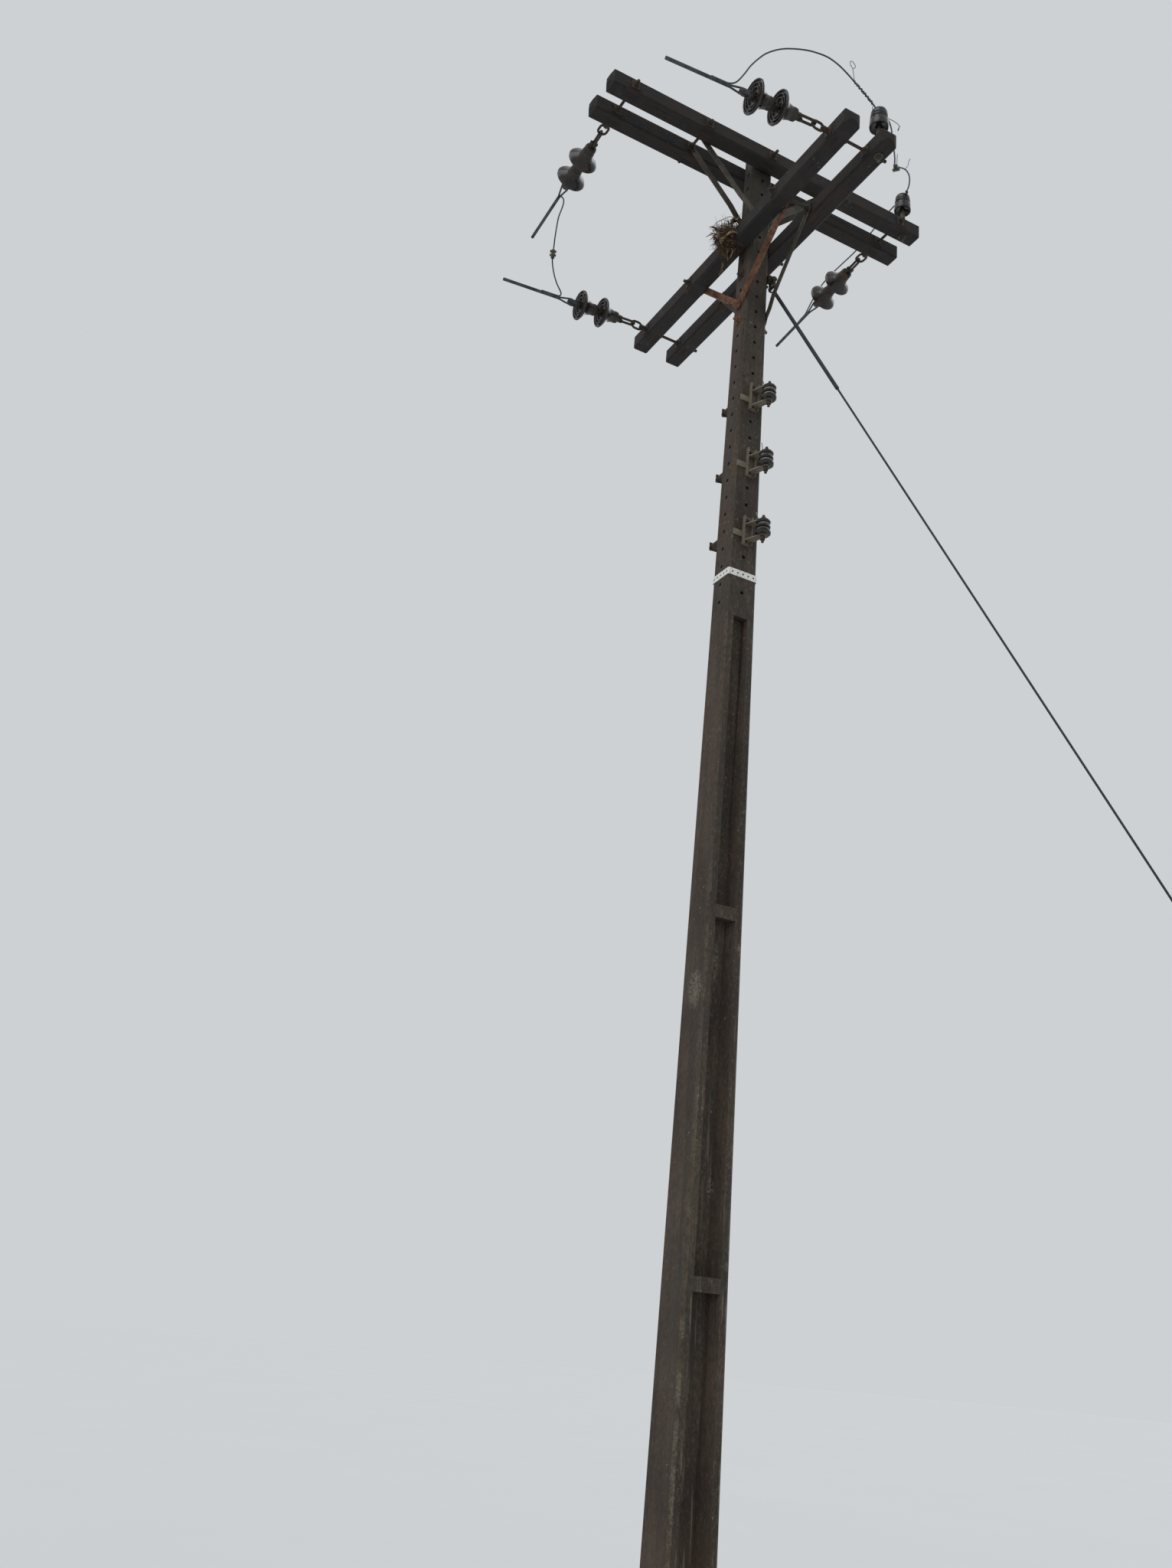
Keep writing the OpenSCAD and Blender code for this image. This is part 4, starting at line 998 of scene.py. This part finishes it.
def neck_turns(foot):
    """Nearly two turns around the neck of the pin insulator that stands on foot."""
    turns, rise = 1.9, 0.0033
    return [(foot[0] + neck_radius * math.cos(a), foot[1] + neck_radius * math.sin(a),
             foot[2] + neck_height + rise * a / (2 * math.pi))
            for a in np.linspace(0, 2 * math.pi * turns, int(20 * turns))]


print("points on the long bridging wire:", len(right_path))

# %% [markdown]
# ## Ties of the first pin insulator
# The long bridging wire is bound to the first pin insulator. The binding goes around the neck, runs
# up the wire for a hand's width and ends in a curl that stands up. A cut tail hangs on the far side.

# %% Tie the first pin insulator
tied_from, tied_to = nearest((-0.045, -0.912, 7.213)), nearest((0.070, -0.922, 7.118))
ties = [
    wound_around(right_path, tied_from, tied_to, 0.0058, 9),
    wound_around(right_path, tied_from + 4, tied_to, 0.0062, 5),
    thin_wire("neck", neck_turns((0.111868, -0.920, 6.982))),
    thin_wire("riser", [(0.0705, -0.924, 7.056), (0.066, -0.925, 7.078), (0.068, -0.924, 7.100),
                        (0.074, -0.9235, 7.113)]),
    thin_wire("curl", [(-0.041, -0.913, 7.214), (-0.046, -0.914, 7.240), (-0.050, -0.914, 7.268),
                       (-0.055, -0.914, 7.290), (-0.068, -0.914, 7.306), (-0.070, -0.915, 7.326),
                       (-0.055, -0.915, 7.330), (-0.040, -0.915, 7.316), (-0.040, -0.914, 7.300),
                       (-0.050, -0.913, 7.293)]),
    thin_wire("tail", [(0.150, -0.915, 7.0835), (0.166, -0.922, 7.078), (0.185, -0.945, 7.050),
                       (0.192, -0.975, 7.000), (0.185, -0.983, 6.965), (0.178, -0.984, 6.948),
                       (0.184, -0.983, 6.972), (0.195, -0.981, 6.992)]),
]
print("ties of the first pin insulator:", len(ties))
add_piece(joined("tie_wires_first_pin", ties), bright_strand)

# %% [markdown]
# ## Ties of the clamp and the second pin insulator
# Where the wire was lengthened, a clamp joins the two ends, and a few turns of soft wire and two
# stiff ends stick out beside it. The second insulator holds the wire in the same way as the first.

# %% Tie the second pin insulator
clamp_turns = nearest((0.600, -0.480, 7.364)), nearest((0.585, -0.488, 7.349))
head_turns = nearest((0.939, -0.138, 7.645)), nearest((0.905, -0.176, 7.608))
ties = [
    wound_around(right_path, *clamp_turns, 0.0058, 3),
    thin_wire("neck", neck_turns((0.941, -0.0974169, 7.538))),
    thin_wire("riser", [(0.938, -0.139, 7.612), (0.937, -0.144, 7.628), (0.938, -0.142, 7.642)]),
    wound_around(right_path, *head_turns, 0.0058, 4),
    thin_wire("loose_end", [(0.674, -0.444, 7.428), (0.684, -0.446, 7.446), (0.694, -0.444, 7.472),
                            (0.700, -0.440, 7.500), (0.711, -0.440, 7.524)]),
    thin_wire("strand_end", [(0.552, -0.520, 7.332), (0.545, -0.530, 7.346), (0.537, -0.541, 7.357),
                             (0.532, -0.548, 7.366)]),
]
print("ties of the second pin insulator:", len(ties))
add_piece(joined("tie_wires_second_pin", ties), bright_strand)

# %% [markdown]
# ## Ties on the spools
# A spool binds what lies in its groove with soft wire: two turns in each groove, and a twisted
# tail that stands up beside the spool. The turns touch the porcelain, and the tail starts on the
# upper turn.

# %% Bind the spools
spool_side, spool_stand, spool_drop = 0.040, 0.098, 0.110
groove_radius = 0.0277


def spool_tie(z, turn):
    middle = Vector((spool_side, -rack_face(z) - spool_stand, z - spool_drop + 0.0004))
    pieces = []
    for height in (0.026, 0.0535):
        ring = [(middle.x + groove_radius * math.cos(a), middle.y + groove_radius * math.sin(a),
                 middle.z + height + 0.0034 * a / (2 * math.pi))
                for a in np.linspace(turn, turn + 4 * math.pi, 48)]
        pieces.append(thin_wire("turn", ring, 0.0017, 0.006))
    out = Vector((math.cos(turn), math.sin(turn), 0))
    side = Vector((-out.y, out.x, 0))
    foot = middle + out * groove_radius + Vector((0, 0, 0.0605))
    core = [foot + out * (0.020 * (1 - math.cos(t * 1.5))) + side * 0.012 * t + Vector((0, 0, 0.050 * t))
            for t in np.linspace(0, 1, 25)]
    for phase in (0, math.pi):
        twisted = [tuple(c + out * 0.0017 * math.cos(phase + 1.1 * k)
                         + side * 0.0017 * math.sin(phase + 1.1 * k)) for k, c in enumerate(core)]
        pieces.append(thin_wire("tail", twisted, 0.0013, 0.002))
    return pieces


ties = [piece for z, turn in zip(rack_heights, (2.9, 3.3, 3.0)) for piece in spool_tie(z, turn)]
print("spool ties:", len(ties), "wires joined")
add_piece(joined("tie_wires_spools", ties), tie_strand)

# %% [markdown]
# ## A ball of straw
# A bird has carried dry grass into the corner between the pole and the left arm. It hangs there as
# a loose ball. A ball like this is about a thousand thin blades, each bent and thrown around
# the same middle. A fixed seed gives the same ball every time the script runs.

# %% Throw the straw
def straw_ball(name, middle, size, count, seed, widths, longs):
    rng = random.Random(seed)
    verts, faces = [], []
    for _ in range(count):
        turn = Vector((rng.gauss(0, 1), rng.gauss(0, 1), rng.gauss(0, 0.8))).normalized()
        across = turn.cross(Vector((rng.gauss(0, 1), rng.gauss(0, 1), rng.gauss(0, 1)))).normalized()
        at = Vector([rng.gauss(0, 0.36) * half for half in size])
        long = rng.uniform(*longs)
        curve = rng.uniform(-7.0, 7.0)
        wide = rng.uniform(*widths)
        base = len(verts)
        flat = turn.cross(across)
        for k in range(8):
            t = k / 7 - 0.5
            waved = 0.010 * math.sin(curve * t) + rng.uniform(-1, 1) * 0.001
            bend = across * (curve * (t * long) ** 2) + flat * waved
            here = Vector(middle) + at + turn * (t * long) + bend
            here.z -= 0.35 * abs(t) * long
            thin = wide * (1 - 3.4 * abs(t) ** 2)
            verts += [here + flat * thin, here + across * min(thin * 0.5, 0.0008), here - flat * thin]
        for k in range(7):
            a = base + 3 * k
            faces += [(a, a + 1, a + 4, a + 3), (a + 1, a + 2, a + 5, a + 4), (a + 2, a, a + 3, a + 5)]
    return mesh_object(name, verts, faces)


middle = (-0.163, 0.004, 6.866)
blades = straw_ball("dry_grass_ball", middle, (0.085, 0.088, 0.100), 950, 41,
                    (0.0007, 0.0024), (0.045, 0.125))
leaves = straw_ball("dry_leaf_blades", middle, (0.105, 0.105, 0.105), 70, 7,
                    (0.005, 0.010), (0.06, 0.11))
add_piece(blades, straw)
add_piece(leaves, dry_leaf)
print("faces in the ball:", len(blades.data.polygons) + len(leaves.data.polygons))

# %% [markdown]
# ## Light and floor
# The day was overcast, so the light comes from everywhere with no hard shadow. A pale world of
# strength near one does that. Two broad sun lamps, as wide as a cloudy sky, give the round pieces a
# lit side. Area lamps would do it too, but near a tall pole they leave bright pools on the floor,
# and a sun lights the floor evenly. The floor is plain and only catches the shadow. The world shows
# the camera, reflections and clear things the same pale tone as the floor, whatever its strength.

# %% Build the studio
def plain_floor(half):
    corners = [(-half, -half, 0), (half, -half, 0), (half, half, 0), (-half, half, 0)]
    floor = mesh_object("studio_floor", corners, [(0, 1, 2, 3)], smooth=False)
    f = Finish("pale_floor", IOR=1.45)
    tint = f.noise(2.0, detail=2.0)
    f.ground((198, 202, 205), (202, 206, 209), tint)
    floor.data.materials.append(f.finish(0.9 + tint * 0.05))


def broad_sun(name, come_from, spread, strength):
    data = bpy.data.lights.new(name, "SUN")
    data.angle, data.energy = math.radians(spread), strength
    lamp = bpy.data.objects.new(name, data)
    lamp.location = come_from
    lamp.rotation_euler = (-Vector(come_from)).to_track_quat("-Z", "Y").to_euler()
    bpy.context.scene.collection.objects.link(lamp)


def pale_world(strength, shown):
    world = bpy.data.worlds.new("overcast")
    bpy.context.scene.world = world
    world.use_nodes = True
    tree = world.node_tree
    tree.nodes.clear()
    lit, seen = (tree.nodes.new("ShaderNodeBackground") for _ in range(2))
    for background, colour, bright in ((lit, (1.0, 1.0, 1.0, 1.0), strength), (seen, shown, 1.0)):
        background.inputs["Color"].default_value = colour
        background.inputs["Strength"].default_value = bright
    rays = tree.nodes.new("ShaderNodeLightPath")
    either = rays.outputs["Is Camera Ray"]
    for ray in ("Is Glossy Ray", "Is Transmission Ray"):
        larger = tree.nodes.new("ShaderNodeMath")
        larger.operation = "MAXIMUM"
        tree.links.new(either, larger.inputs[0])
        tree.links.new(rays.outputs[ray], larger.inputs[1])
        either = larger.outputs[0]
    pick, end = tree.nodes.new("ShaderNodeMixShader"), tree.nodes.new("ShaderNodeOutputWorld")
    for k, out in enumerate((either, lit.outputs[0], seen.outputs[0])):
        tree.links.new(out, pick.inputs[k])
    tree.links.new(pick.outputs[0], end.inputs["Surface"])


plain_floor(90.0)
pale_world(0.74, paint(205, 209, 212))
broad_sun("lit_side", (-8.0, -3.0, 7.0), 50, 0.85)
broad_sun("back_side", (8.0, 5.0, 7.0), 60, 0.60)
bpy.context.scene.view_settings.view_transform = "Standard"
